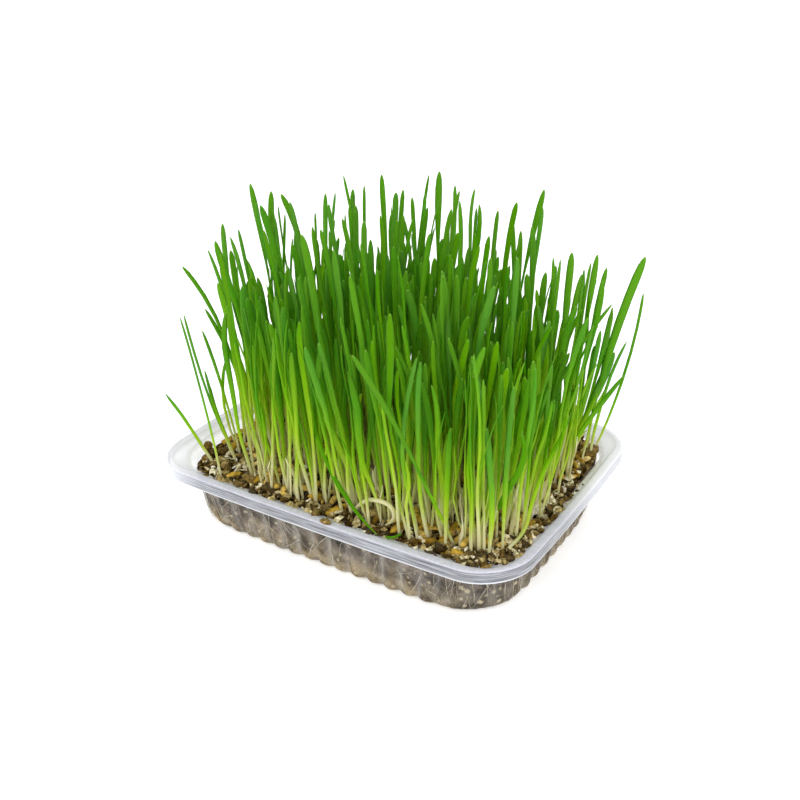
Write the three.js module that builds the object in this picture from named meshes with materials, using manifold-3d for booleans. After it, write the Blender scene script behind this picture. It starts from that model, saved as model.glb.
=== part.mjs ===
// Wheatgrass growing in a clear plastic food tray.
// Millimetres, +Z up, +X along the tray's long side. The origin is on the underside, at its centre.
import * as THREE from "three";
import Module from "manifold-3d";

const wasm = await Module();
wasm.setup();

// Tray. Every ring of the shell is an inset from the outer lip.
const lipHalfLength = 93.5;
const lipHalfWidth = 68.5;
const sideBow = 1.5; // the sides swell outward by this much at their middle
const rimHeight = 32.8;
const flangeUnder = 31.9;
const lipBottom = 27;
const floorTop = 1;
const fluteDepth = 1.3;
const longFlutes = 13;
const shortFlutes = 7;
const cornerSteps = 6;
const longSteps = 6;
const shortSteps = 4;

// Soil block and the round holes in it that the root plugs stand in.
const soilTop = 28.9;
const soilGap = 0.3;
const soilLumps = { height: 0.5, lengthX: 15, lengthY: 17, warp: 1.3, levelEdge: 9 };
const plugSides = 8;
const plugTop = 29.2;
const plugDepth = 4.3;
const plugRadius = 7.9;
const holeRadius = plugRadius + soilGap / Math.cos(Math.PI / plugSides);
const holeDepth = plugDepth + soilGap;

// Grains lying half sunk in the soil.
const grainCount = 28;
const grainTries = 4000;
const grainSize = { length: 7.4, width: 3.2, height: 2.8 };
const grainSpacing = 6.5;
const grainEdge = 4.5;

// Sowing: a lattice of tufts, each with a square of blades.
const columns = 8;
const rows = 6;
const bladesAcross = 3;
const sownCentre = { x: 5.5, y: -3 };
const tuftPitch = { x: 19.3, y: 19 };
const bareTuft = "1_1"; // this corner stays thin
const cornerPull = 0.07; // draws the lattice in at the tray's round corners
const rootPull = 0.68; // how close the blades stand at their roots
const plantJitter = 0.7;

// Blades, from root to tip: fraction of the height, share of the blade's own width, keel depth.
// Below the blade is a slim sheath of one width.
const sheathWidth = 1.5;
const bladeRings = [
  { at: 0, share: 0, keel: 1.5 },
  { at: 0.46, share: 0.15, keel: 1.3 },
  { at: 0.74, share: 0.72, keel: 1.1 },
  { at: 0.91, share: 1, keel: 0.95 },
];
const bladeWidth = { least: 2.5, spread: 1.2 };
const tipHeight = { usual: 116, spread: 15, tall: 24, short: 78, most: 151.5 };
const tallShare = 0.17;
const tallEnd = 48; // no tall blades to the right of this
const shortShare = 0.14;
const rightDrop = 10; // the stand is lower towards its ends and the front
const leftDrop = 6;
const frontDrop = 8;
const fan = { right: 12, left: 6, front: 8, back: 7 }; // outward lean at the sides, at full height
const fanHeight = 100;
const sway = 4.5; // a slow wave that leans neighbours the same way
const swayLength = 95;
const swaySlant = 0.35;
const swayStart = { x: 0.6, y: 2.1 };
const ownLean = 8; // a blade's own lean at its tip, and the share of it at half height
const kneeFollow = 0.3;
const twistRange = 0.9;
const bladeGap = 0.35;
const levelStep = 7;
const settlePasses = 14;
const settleShare = 0.62;

// Blades that stand apart from the mass. Each takes one place of the square in its tuft.
const strayBlades = [
  { tuft: "1_1", place: 3, knee: [-74.5, -52], tip: [-86.3, -58, 64.5], width: 2.6, turn: 0.6 },
  { tuft: "1_1", place: 1, knee: [-59, -60.5], tip: [-62.8, -65, 109], width: 2, turn: 0.3 },
  { tuft: "1_1", place: 7, knee: [-64, -46.5], tip: [-70, -48, 76], width: 2.4, turn: 0.9 },
  { tuft: "2_1", place: 0, knee: [-75.5, -41], tip: [-81.5, -44.5, 99.5], width: 2, turn: 0.4 },
  { tuft: "2_1", place: 3, knee: [-76.5, -27.5], tip: [-88, -34.5, 118], width: 3.4, turn: 0.7 },
  { tuft: "6_8", place: 8, knee: [84.5, 57.5], tip: [91.5, 63.5, 122], width: 4.4, turn: 0.5 },
  { tuft: "6_8", place: 5, knee: [85.5, 50.5], tip: [94, 58, 107.5], width: 2, turn: 0.2 },
  { tuft: "5_8", place: 5, knee: [85, 37], tip: [93.5, 46, 73], width: 2.6, turn: 0.6 },
  { tuft: "1_8", place: 0, knee: [48.5, -65.5], tip: [31.5, -73.5, 115], width: 3, turn: 0.4 },
];

const clearPlastic = new THREE.MeshStandardMaterial({
  color: 0xdfe3ec, roughness: 0.25, metalness: 0, transparent: true, opacity: 0.45,
});
const darkSoil = new THREE.MeshStandardMaterial({ color: 0x4a3826, roughness: 0.95, metalness: 0 });
const freshGrass = new THREE.MeshStandardMaterial({ color: 0x5c9a1c, roughness: 0.5, metalness: 0 });

// The outer face from the foot to the rim, then the inner face back down to the floor.
const shellRings = [
  { inset: 14.9, radius: 24, height: 0 },
  { inset: 12.6, radius: 25, height: 0.9, fluted: true },
  { inset: 11.5, radius: 24.5, height: 3.6, fluted: true },
  { inset: 9.5, radius: 22.5, height: 25, fluted: true },
  { inset: 8.3, radius: 21.5, height: 28.2 },
  { inset: 6.9, radius: 20, height: 30.2 },
  { inset: 3.3, radius: 16.2, height: flangeUnder },
  { inset: 1.2, radius: 22, height: flangeUnder },
  { inset: 0.8, radius: 22.4, height: lipBottom },
  { inset: 0, radius: 23, height: lipBottom },
  { inset: 0, radius: 23, height: rimHeight - 0.6 },
  { inset: 0.7, radius: 22.5, height: rimHeight },
  { inset: 3.9, radius: 15.6, height: rimHeight },
  { inset: 4.7, radius: 16, height: 32 },
  { inset: 7.6, radius: 20.8, height: 31 },
  { inset: 9.1, radius: 22, height: 29 },
  { inset: 10.4, radius: 23.3, height: 25 },
  { inset: 12.4, radius: 24.5, height: 3.8 },
  { inset: 13.7, radius: 25, height: floorTop },
];

const soilRings = [
  { inset: 14.1, radius: 25, height: floorTop + soilGap },
  { inset: 12.8, radius: 24.6, height: 4.1 },
  { inset: 10.8, radius: 23.4, height: 25 },
  { inset: 9.7, radius: 22.3, height: 28.6 },
];

// A repeatable stream of numbers from 0 to 1.
function randomStream(seed) {
  let state = seed;
  return () => {
    state = (state * 16807) % 2147483647;
    return state / 2147483647;
  };
}

// One turn round the tray is a step count from 0 to 8: each side takes one and each corner takes one.
function turnSteps(fluted) {
  const steps = [];
  for (let side = 0; side < 4; side += 1) {
    const isLong = side % 2 === 0;
    const flutes = 2 * (isLong ? longFlutes : shortFlutes);
    const count = fluted ? flutes : isLong ? longSteps : shortSteps;
    for (let i = 0; i < count; i += 1) {
      steps.push(2 * side + i / count);
    }
    for (let i = 0; i < cornerSteps; i += 1) {
      steps.push(2 * side + 1 + i / cornerSteps);
    }
  }
  return steps;
}

// A point of a rounded rectangle with slightly swollen sides.
function ringPoint(ring, step) {
  const side = Math.floor(step / 2);
  const isLong = side % 2 === 0;
  const reach = (isLong ? lipHalfWidth : lipHalfLength) - ring.inset;
  const half = (isLong ? lipHalfLength : lipHalfWidth) - ring.inset;
  const straight = half - ring.radius;
  const swell = (position, extent) => sideBow * (1 - (position / extent) ** 2);
  const part = step - 2 * side;
  const flutes = isLong ? longFlutes : shortFlutes;
  const sideWave = (1 + Math.cos(2 * Math.PI * flutes * (part - 0.5))) / 2;
  const cornerWave = Math.sqrt(Math.abs(Math.sin(Math.PI * part))); // a corner is one broad lobe
  const lobe = ring.fluted ? fluteDepth * (part < 1 ? sideWave : cornerWave) : 0;
  let along = straight;
  let out = reach;
  if (part < 1) {
    along = (2 * part - 1) * straight;
    out += swell(along, half) + lobe;
  } else {
    const angle = ((part - 1) * Math.PI) / 2;
    along += ring.radius * Math.sin(angle);
    out += ring.radius * (Math.cos(angle) - 1);
    along += (swell(out, reach) + lobe) * Math.sin(angle);
    out += (swell(along, half) + lobe) * Math.cos(angle);
  }
  const turn = (side * Math.PI) / 2;
  const x = along * Math.cos(turn) + out * Math.sin(turn);
  const y = along * Math.sin(turn) - out * Math.cos(turn);
  return new THREE.Vector3(x, y, ring.height);
}

// Points and triangles of a closed body under construction.
function newBody() {
  return { points: [], faces: [] };
}

function addRing(body, ring, steps) {
  const first = body.points.length;
  for (const step of steps) {
    body.points.push(ringPoint(ring, step));
  }
  return { first, steps };
}

// Joins two rings that may have different numbers of points, by walking both at once.
function stitch(body, low, high) {
  const end = 8;
  const index = (ring, i) => ring.first + (i % ring.steps.length);
  const next = (ring, i) => (i + 1 < ring.steps.length ? ring.steps[i + 1] : end);
  let i = 0;
  let j = 0;
  while (i < low.steps.length || j < high.steps.length) {
    const lowNext = i < low.steps.length ? next(low, i) : Infinity;
    const highNext = j < high.steps.length ? next(high, j) : Infinity;
    if (lowNext <= highNext) {
      body.faces.push([index(low, i), index(low, i + 1), index(high, j)]);
      i += 1;
    } else {
      body.faces.push([index(low, i), index(high, j + 1), index(high, j)]);
      j += 1;
    }
  }
}

// Closes a ring with flat faces that look up or down.
function capRing(body, ring, looksUp) {
  const outline = ring.steps.map((_, i) => {
    const point = body.points[ring.first + i];
    return new THREE.Vector2(point.x, point.y);
  });
  for (const [a, b, c] of THREE.ShapeUtils.triangulateShape(outline, [])) {
    const face = [ring.first + a, ring.first + b, ring.first + c];
    body.faces.push(looksUp ? face : face.reverse());
  }
}

function solidFrom(body) {
  const vertProperties = new Float32Array(body.points.flatMap((point) => point.toArray()));
  const triVerts = new Uint32Array(body.faces.flat());
  return new wasm.Manifold(new wasm.Mesh({ numProp: 3, vertProperties, triVerts }));
}

function meshFrom(name, solid, material) {
  const { vertProperties, triVerts } = solid.getMesh();
  const geometry = new THREE.BufferGeometry();
  geometry.setAttribute("position", new THREE.BufferAttribute(vertProperties, 3));
  geometry.setIndex(new THREE.BufferAttribute(triVerts, 1));
  geometry.computeVertexNormals();
  const mesh = new THREE.Mesh(geometry, material);
  mesh.name = name;
  return mesh;
}

function buildTray() {
  const body = newBody();
  const placed = shellRings.map((ring) => addRing(body, ring, turnSteps(ring.fluted)));
  capRing(body, placed[0], false);
  for (let i = 1; i < placed.length; i += 1) {
    stitch(body, placed[i - 1], placed[i]);
  }
  capRing(body, placed[placed.length - 1], true);
  return meshFrom("tray", solidFrom(body), clearPlastic);
}

// Middle of a tuft, with the lattice drawn in at the corners.
function latticePoint(x, y) {
  const reachX = (tuftPitch.x * (columns - 1)) / 2;
  const reachY = (tuftPitch.y * (rows - 1)) / 2;
  const pulledX = x * (1 - cornerPull * (y / reachY) ** 2);
  const pulledY = y * (1 - cornerPull * (x / reachX) ** 2);
  return { x: sownCentre.x + pulledX, y: sownCentre.y + pulledY };
}

function sowTufts() {
  const tufts = [];
  for (let row = 0; row < rows; row += 1) {
    for (let column = 0; column < columns; column += 1) {
      const x = (column - (columns - 1) / 2) * tuftPitch.x;
      const y = (row - (rows - 1) / 2) * tuftPitch.y;
      const name = `${row + 1}_${column + 1}`;
      tufts.push({ name, gridX: x, gridY: y, centre: latticePoint(x, y) });
    }
  }
  return tufts;
}

// Outward lean of the whole stand at a height: it fans out towards the tray's sides.
function standLean(x, y, z) {
  const lift = Math.max(0, (z - plugTop) / fanHeight);
  const swell = lift ** 1.5;
  const sideX = x / lipHalfLength;
  const sideY = y / lipHalfWidth;
  const wave = (2 * Math.PI) / swayLength;
  const swayX = sway * Math.sin(wave * (y + swaySlant * x) + swayStart.x);
  const swayY = sway * Math.sin(wave * (x - swaySlant * y) + swayStart.y);
  return {
    x: swell * ((x > 0 ? fan.right : fan.left) * sideX + swayX),
    y: swell * ((y > 0 ? fan.back : fan.front) * sideY + swayY),
  };
}

// Draws one blade for each place of each tuft's square. The front left tuft holds only stray blades.
function sowBlades(tufts) {
  const draw = randomStream(20417);
  const blades = [];
  for (const tuft of tufts) {
    for (let place = 0; place < bladesAcross ** 2; place += 1) {
      const stepX = (place % bladesAcross) - (bladesAcross - 1) / 2;
      const stepY = Math.floor(place / bladesAcross) - (bladesAcross - 1) / 2;
      const offsetX = (stepX * tuftPitch.x) / bladesAcross;
      const offsetY = (stepY * tuftPitch.y) / bladesAcross;
      const spot = latticePoint(tuft.gridX + offsetX, tuft.gridY + offsetY);
      spot.x += plantJitter * (2 * draw() - 1);
      spot.y += plantJitter * (2 * draw() - 1);
      const kind = draw();
      const size = tipHeight.spread * (draw() + draw() - 1);
      const heading = 2 * Math.PI * draw();
      const reach = ownLean * draw();
      const turn = Math.PI * draw();
      const twist = twistRange * (2 * draw() - 1);
      const width = bladeWidth.least + bladeWidth.spread * draw();
      const dropEnd = (Math.abs(spot.x) / lipHalfLength) * (spot.x > 0 ? rightDrop : leftDrop);
      const dropFront = frontDrop * Math.max(0, -spot.y / lipHalfWidth);
      const isTall = kind < tallShare && spot.x < tallEnd;
      const usual = tipHeight.usual - dropEnd - dropFront + (isTall ? tipHeight.tall : 0);
      const height = Math.min(tipHeight.most, size + (kind > 1 - shortShare ? tipHeight.short : usual));
      const lean = { x: reach * Math.cos(heading), y: reach * Math.sin(heading) };
      const root = { x: tuft.centre.x + rootPull * offsetX, y: tuft.centre.y + rootPull * offsetY };
      const blade = { tuft, root, spot, lean, height, width, turn, twist, freedom: 1 };
      const stray = strayBlades.find((each) => each.tuft === tuft.name && each.place === place);
      if (stray) {
        const [kneeX, kneeY] = stray.knee;
        const [tipX, tipY, tipZ] = stray.tip;
        Object.assign(blade, { fixed: true, width: stray.width, turn: stray.turn, twist: 0, height: tipZ });
        Object.assign(blade, { knee: { x: kneeX, y: kneeY }, tip: { x: tipX, y: tipY } });
      }
      if (stray || tuft.name !== bareTuft) {
        blades.push(blade);
      }
    }
  }
  return blades;
}

// Sets the knee and the tip of a blade from its place, the stand's lean and its own lean.
function poseBlade(blade) {
  if (blade.fixed) {
    return;
  }
  const { spot, lean, freedom, height } = blade;
  const kneeLean = standLean(spot.x, spot.y, (plugTop + height) / 2);
  const tipLean = standLean(spot.x, spot.y, height);
  const kneeShare = kneeFollow * freedom;
  blade.knee = { x: spot.x + kneeLean.x + kneeShare * lean.x, y: spot.y + kneeLean.y + kneeShare * lean.y };
  blade.tip = { x: spot.x + tipLean.x + freedom * lean.x, y: spot.y + tipLean.y + freedom * lean.y };
}

// Middle line of a blade: a parabola through its root, knee and tip.
function bladeCentre(blade, share) {
  const atRoot = (1 - share) * (1 - 2 * share);
  const atKnee = 4 * share * (1 - share);
  const atTip = share * (2 * share - 1);
  return new THREE.Vector3(
    atRoot * blade.root.x + atKnee * blade.knee.x + atTip * blade.tip.x,
    atRoot * blade.root.y + atKnee * blade.knee.y + atTip * blade.tip.y,
    plugTop + share * (blade.height - plugTop),
  );
}

function ringHalfWidth(blade, ring) {
  return (sheathWidth + ring.share * (blade.width - sheathWidth)) / 2;
}

// Half the width of a blade at any share of its height. It closes to a point at the tip.
function halfWidthAt(blade, share) {
  const upper = bladeRings.findIndex((ring) => ring.at > share);
  const last = bladeRings.length - 1;
  const low = bladeRings[upper < 0 ? last : upper - 1];
  const highAt = upper < 0 ? 1 : bladeRings[upper].at;
  const highHalf = upper < 0 ? 0 : ringHalfWidth(blade, bladeRings[upper]);
  const mix = (share - low.at) / (highAt - low.at);
  return ringHalfWidth(blade, low) * (1 - mix) + highHalf * mix;
}

// Level cuts through a blade, to measure the room between neighbours.
function bladeLevels(blade) {
  const levels = [];
  for (let z = plugTop + levelStep; z < blade.height; z += levelStep) {
    const share = (z - plugTop) / (blade.height - plugTop);
    const centre = bladeCentre(blade, share);
    levels.push({ x: centre.x, y: centre.y, half: halfWidthAt(blade, share) });
  }
  return levels;
}

function bladesTouch(a, b) {
  const count = Math.min(a.levels.length, b.levels.length);
  for (let i = 0; i < count; i += 1) {
    const low = a.levels[i];
    const high = b.levels[i];
    const room = Math.hypot(low.x - high.x, low.y - high.y) - low.half - high.half;
    if (room < bladeGap) {
      return true;
    }
  }
  return false;
}

function touchingPairs(blades) {
  const pairs = [];
  for (let i = 0; i < blades.length; i += 1) {
    for (let j = i + 1; j < blades.length; j += 1) {
      if (bladesTouch(blades[i], blades[j])) {
        pairs.push([i, j]);
      }
    }
  }
  return pairs;
}

// Straightens blades that would cross until they clear each other, and leaves out those that never do.
function settleBlades(blades) {
  const update = (blade) => {
    poseBlade(blade);
    blade.levels = bladeLevels(blade);
  };
  blades.forEach(update);
  for (let pass = 0; pass < settlePasses; pass += 1) {
    const crowded = new Set(touchingPairs(blades).flat());
    for (const i of crowded) {
      blades[i].freedom *= settleShare;
      update(blades[i]);
    }
  }
  const leftOut = new Set(touchingPairs(blades).map(([i, j]) => (blades[i].fixed ? j : i)));
  return blades.filter((_, i) => !leftOut.has(i));
}

// A keeled blade: three-sided rings along its middle line, closed by the tip. Its root ring lies flat on
// the plug and is left open, and its point numbers are given back.
function addBlade(body, blade) {
  const first = body.points.length;
  const stepAhead = 0.01;
  for (const ring of bladeRings) {
    const centre = bladeCentre(blade, ring.at);
    const ahead = bladeCentre(blade, ring.at + stepAhead).sub(centre).normalize();
    const angle = blade.turn + blade.twist * ring.at;
    const across = new THREE.Vector3(Math.cos(angle), Math.sin(angle), 0);
    across.addScaledVector(ahead, -across.dot(ahead)).normalize();
    const face = new THREE.Vector3().crossVectors(ahead, across);
    const half = ringHalfWidth(blade, ring);
    const edge = centre.clone().addScaledVector(face, ring.keel / 3);
    const corners = [
      edge.clone().addScaledVector(across, -half),
      centre.clone().addScaledVector(face, (-2 * ring.keel) / 3),
      edge.clone().addScaledVector(across, half),
    ];
    corners.forEach((corner) => corner.setZ(ring.at === 0 ? plugTop : corner.z));
    body.points.push(...corners);
  }
  const sides = 3;
  for (let i = 0; i + 1 < bladeRings.length; i += 1) {
    for (let j = 0; j < sides; j += 1) {
      const a = first + i * sides + j;
      const b = first + i * sides + ((j + 1) % sides);
      body.faces.push([a, b, b + sides]);
      body.faces.push([a, b + sides, a + sides]);
    }
  }
  const tip = body.points.length;
  body.points.push(bladeCentre(blade, 1));
  for (let j = 0; j < sides; j += 1) {
    body.faces.push([tip - sides + j, tip - sides + ((j + 1) % sides), tip]);
  }
  return [first, first + 1, first + 2];
}

// A straight column with flat sides and an open top. Its top point numbers are given back.
function addColumn(body, centre, radius, bottom, topHeight) {
  const first = body.points.length;
  const corners = [...Array(plugSides).keys()].map((i) => {
    const angle = ((i + 0.5) * 2 * Math.PI) / plugSides;
    return { x: centre.x + radius * Math.cos(angle), y: centre.y + radius * Math.sin(angle) };
  });
  body.points.push(...corners.map(({ x, y }) => new THREE.Vector3(x, y, bottom)));
  body.points.push(...corners.map(({ x, y }) => new THREE.Vector3(x, y, topHeight(x, y))));
  for (let i = 0; i < plugSides; i += 1) {
    const a = first + i;
    const b = first + ((i + 1) % plugSides);
    body.faces.push([a, b, b + plugSides]);
    body.faces.push([a, b + plugSides, a + plugSides]);
  }
  for (let i = 1; i + 1 < plugSides; i += 1) {
    body.faces.push([first, first + i + 1, first + i]);
  }
  return corners.map((_, i) => first + plugSides + i);
}

// Closes the top of a body round the mouths of what stands in it or is sunk into it.
function closeTop(body, rim, mouths) {
  const flat = (loop) => loop.map((i) => new THREE.Vector2(body.points[i].x, body.points[i].y));
  const numbers = [...rim, ...mouths.flat()];
  for (const face of THREE.ShapeUtils.triangulateShape(flat(rim), mouths.map(flat))) {
    body.faces.push(face.map((i) => numbers[i]));
  }
}

// A tuft: its root plug with its blades grown out of it.
function buildTuft(tuft, blades) {
  const body = newBody();
  const rim = addColumn(body, tuft.centre, plugRadius, plugTop - plugDepth, () => plugTop);
  const roots = blades.map((blade) => addBlade(body, blade).reverse());
  closeTop(body, rim, roots);
  return meshFrom(`tuft_${tuft.name}`, solidFrom(body), freshGrass);
}

// Distance from a point on the soil to the soil's own edge.
function edgeRoom(x, y) {
  const { inset, radius } = soilRings[soilRings.length - 1];
  const overX = Math.max(0, Math.abs(x) - (lipHalfLength - inset - radius));
  const overY = Math.max(0, Math.abs(y) - (lipHalfWidth - inset - radius));
  return radius - Math.hypot(overX, overY);
}

// Height of the crumbly soil, level along the tray wall.
function soilHeight(x, y) {
  const { height, lengthX, lengthY, warp, levelEdge } = soilLumps;
  const turnX = (2 * Math.PI * x) / lengthX;
  const turnY = (2 * Math.PI * y) / lengthY;
  const lumps = Math.sin(turnX + warp * Math.sin(turnY / 2)) * Math.cos(turnY - warp * Math.sin(turnX / 2));
  const fade = Math.min(1, Math.max(0, edgeRoom(x, y) / levelEdge));
  return soilTop + height * fade * lumps;
}

function grainBody(x, y, turn) {
  const shape = new THREE.IcosahedronGeometry(0.5, 0);
  shape.scale(grainSize.length, grainSize.width, grainSize.height);
  shape.rotateZ(turn);
  shape.translate(x, y, soilHeight(x, y));
  const position = shape.getAttribute("position");
  const body = newBody();
  const seen = new Map();
  for (let i = 0; i < position.count; i += 1) {
    const point = new THREE.Vector3().fromBufferAttribute(position, i);
    const key = point.toArray().map((value) => value.toFixed(3)).join();
    if (!seen.has(key)) {
      seen.set(key, body.points.length);
      body.points.push(point);
    }
    if (i % 3 === 0) {
      body.faces.push([]);
    }
    body.faces[body.faces.length - 1].push(seen.get(key));
  }
  return body;
}

// Free places for grains: clear of the tufts, of the wall and of each other.
function grainPlaces(tufts) {
  const draw = randomStream(733);
  const places = [];
  for (let i = 0; i < grainTries && places.length < grainCount; i += 1) {
    const x = (2 * draw() - 1) * lipHalfLength;
    const y = (2 * draw() - 1) * lipHalfWidth;
    const turn = Math.PI * draw();
    const clearance = holeRadius + grainSize.length / 2;
    const free = tufts.every(({ centre }) => Math.hypot(centre.x - x, centre.y - y) > clearance);
    const alone = places.every((place) => Math.hypot(place.x - x, place.y - y) > grainSpacing);
    if (free && alone && edgeRoom(x, y) > grainEdge) {
      places.push({ x, y, turn });
    }
  }
  return places;
}

// The soil block: sides that follow the tray, a rough top and a hole for each tuft.
function buildSoil(tufts) {
  const body = newBody();
  const steps = turnSteps(false);
  const placed = soilRings.map((ring) => addRing(body, ring, steps));
  capRing(body, placed[0], false);
  for (let i = 1; i < placed.length; i += 1) {
    stitch(body, placed[i - 1], placed[i]);
  }
  const rim = steps.map((_, i) => placed[placed.length - 1].first + i);
  const mouths = tufts.map(({ centre }) => {
    const hole = newBody();
    const mouth = addColumn(hole, centre, holeRadius, plugTop - holeDepth, soilHeight);
    const first = body.points.length;
    body.points.push(...hole.points);
    body.faces.push(...hole.faces.map((face) => face.map((i) => first + i).reverse()));
    return mouth.map((i) => first + i).reverse();
  });
  closeTop(body, rim, mouths);
  const grains = grainPlaces(tufts).map((place) => solidFrom(grainBody(place.x, place.y, place.turn)));
  const solid = grains.reduce((sum, grain) => sum.add(grain), solidFrom(body));
  return meshFrom("soil", solid, darkSoil);
}

const group = new THREE.Group();
const tufts = sowTufts();
const blades = settleBlades(sowBlades(tufts));
group.add(buildTray());
group.add(buildSoil(tufts));
for (const tuft of tufts) {
  group.add(buildTuft(tuft, blades.filter((blade) => blade.tuft === tuft)));
}

export default group;
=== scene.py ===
# Wheatgrass growing in a clear plastic tray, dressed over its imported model.
# Sizes are in millimetres until a mesh is put in, +Z is up and the origin is under the tray's middle.
import math

import bmesh
import bpy
import numpy as np
from mathutils import Matrix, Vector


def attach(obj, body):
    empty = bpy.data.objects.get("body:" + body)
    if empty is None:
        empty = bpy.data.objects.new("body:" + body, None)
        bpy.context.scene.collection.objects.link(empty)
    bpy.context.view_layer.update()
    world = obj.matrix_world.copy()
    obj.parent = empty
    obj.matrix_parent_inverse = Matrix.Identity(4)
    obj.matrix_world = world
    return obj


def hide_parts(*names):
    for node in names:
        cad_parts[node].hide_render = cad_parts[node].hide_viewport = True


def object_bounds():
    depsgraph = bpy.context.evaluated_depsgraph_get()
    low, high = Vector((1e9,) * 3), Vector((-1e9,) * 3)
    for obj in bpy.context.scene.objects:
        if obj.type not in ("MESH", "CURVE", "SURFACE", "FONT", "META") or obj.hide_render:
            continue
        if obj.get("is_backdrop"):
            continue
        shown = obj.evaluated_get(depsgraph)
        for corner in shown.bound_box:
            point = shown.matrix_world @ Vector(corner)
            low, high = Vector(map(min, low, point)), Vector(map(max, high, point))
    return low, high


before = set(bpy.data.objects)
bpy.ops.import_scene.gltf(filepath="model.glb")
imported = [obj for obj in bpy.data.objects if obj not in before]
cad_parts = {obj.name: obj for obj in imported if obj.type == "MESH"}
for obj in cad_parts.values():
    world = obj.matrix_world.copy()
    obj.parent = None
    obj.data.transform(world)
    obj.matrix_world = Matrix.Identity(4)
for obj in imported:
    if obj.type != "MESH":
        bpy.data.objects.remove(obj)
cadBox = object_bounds()
millimetre = 0.001
print("frame loaded:", len(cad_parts), "nodes")


cameraView = {
    "azimuth": 33.05, "elevation": 26.54, "roll": -1.56,  # degrees
    "aim": (-59.57, 97.67, 0.0), "distance": 572.8, "lens": 43.45, "sensor": 36.0, "clipStart": 0.01,
}


def cameraAxes(view):
    # The camera's right, top and back, and its own place at distance from its aim, along azimuth and
    # elevation. It rolls about its own axis.
    azimuth = math.radians(view["azimuth"])
    elevation = math.radians(view["elevation"])
    roll = math.radians(view["roll"])
    level = np.array([math.cos(azimuth), math.sin(azimuth), 0.0])
    back = np.array([math.sin(azimuth) * math.cos(elevation),
                     -math.cos(azimuth) * math.cos(elevation), math.sin(elevation)])
    upright = np.cross(back, level)
    right = math.cos(roll) * level + math.sin(roll) * upright
    top = math.cos(roll) * upright - math.sin(roll) * level
    return right, top, back, np.array(view["aim"]) + view["distance"] * back


def placeCamera(view):
    right, top, back, eye = cameraAxes(view)
    lens = bpy.data.cameras.new("camera")
    lens.sensor_width = view["sensor"]
    lens.lens = view["lens"]
    lens.clip_start = view["clipStart"]
    camera = bpy.data.objects.new("camera", lens)
    matrix = np.eye(4)
    matrix[:3, 0], matrix[:3, 1], matrix[:3, 2], matrix[:3, 3] = right, top, back, eye * millimetre
    camera.matrix_world = Matrix(matrix)
    bpy.context.scene.collection.objects.link(camera)
    bpy.context.scene.camera = camera


stageSettings = {
    "floorHalf": 40000.0, "floorGrey": 0.93, "floorGlow": 0.34,
    "skyColour": (0.98, 0.99, 1.0), "skyStrength": 0.93,
    # name, azimuth and elevation it comes from, how wide it is, all in degrees, and its strength
    "lamps": [("keyLamp", -8.0, 36.0, 46.0, 1.1), ("sideLamp", 78.0, 34.0, 60.0, 0.85)],
}


def setStage(stage):
    # A wide pale floor under an even white sky, with broad lamps so far off that they light it all alike.
    half = stage["floorHalf"] * millimetre
    floorMesh = bpy.data.meshes.new("paleFloor")
    corners = [(-half, -half, 0), (half, -half, 0), (half, half, 0), (-half, half, 0)]
    floorMesh.from_pydata(corners, [], [(0, 1, 2, 3)])
    floor = bpy.data.objects.new("paleFloor", floorMesh)
    bpy.context.scene.collection.objects.link(floor)
    paint, tree, shader = startMaterial("palePaper", {
        "Roughness": 0.9, "Specular IOR Level": 0.1, "Emission Color": (1.0, 1.0, 1.0, 1.0),
        "Emission Strength": stage["floorGlow"],
    })
    feed(tree, shader.inputs["Base Color"], (stage["floorGrey"],) * 3)
    floorMesh.materials.append(paint)
    floor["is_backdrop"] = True
    world = bpy.data.worlds.new("studio")
    world.use_nodes = True
    sky = world.node_tree.nodes["Background"]
    sky.inputs["Color"].default_value = (*stage["skyColour"], 1.0)
    sky.inputs["Strength"].default_value = stage["skyStrength"]
    bpy.context.scene.world = world
    for name, azimuth, elevation, spread, strength in stage["lamps"]:
        light = bpy.data.lights.new(name, "SUN")
        light.angle = math.radians(spread)
        light.energy = strength
        lamp = bpy.data.objects.new(name, light)
        lamp.rotation_euler = (math.radians(90 - elevation), 0, math.radians(azimuth))
        bpy.context.scene.collection.objects.link(lamp)
    bpy.context.scene.view_settings.view_transform = "Standard"


def onScreen(red, green, blue):
    # A colour as seen on a screen, 0 to 255, turned into the linear light that shaders use.
    shares = np.array([red, green, blue]) / 255.0
    return tuple(np.where(shares <= 0.04045, shares / 12.92, ((shares + 0.055) / 1.055) ** 2.4))


def startMaterial(name, values):
    material = bpy.data.materials.new(name)
    material.use_nodes = True
    tree = material.node_tree
    shader = tree.nodes["Principled BSDF"]
    for socket, value in values.items():
        shader.inputs[socket].default_value = value
    return material, tree, shader


def feed(tree, socket, source):
    # Links a socket to another node's output, or sets it to a number, a vector or a colour.
    if isinstance(source, bpy.types.NodeSocket):
        tree.links.new(source, socket)
    elif hasattr(source, "__len__") and socket.type == "RGBA":
        socket.default_value = (*source, 1.0)
    else:
        socket.default_value = source


def blendColours(tree, kind, factor, first, second):
    node = tree.nodes.new("ShaderNodeMix")
    node.data_type = "RGBA"
    node.blend_type = kind
    feed(tree, node.inputs[0], factor)
    feed(tree, node.inputs[6], first)
    feed(tree, node.inputs[7], second)
    return node.outputs[2]


def calculate(tree, operation, first, second=0.0, third=0.0, clamp=False):
    node = tree.nodes.new("ShaderNodeMath")
    node.operation = operation
    node.use_clamp = clamp
    for socket, value in zip(node.inputs, (first, second, third)):
        feed(tree, socket, value)
    return node.outputs[0]


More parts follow.
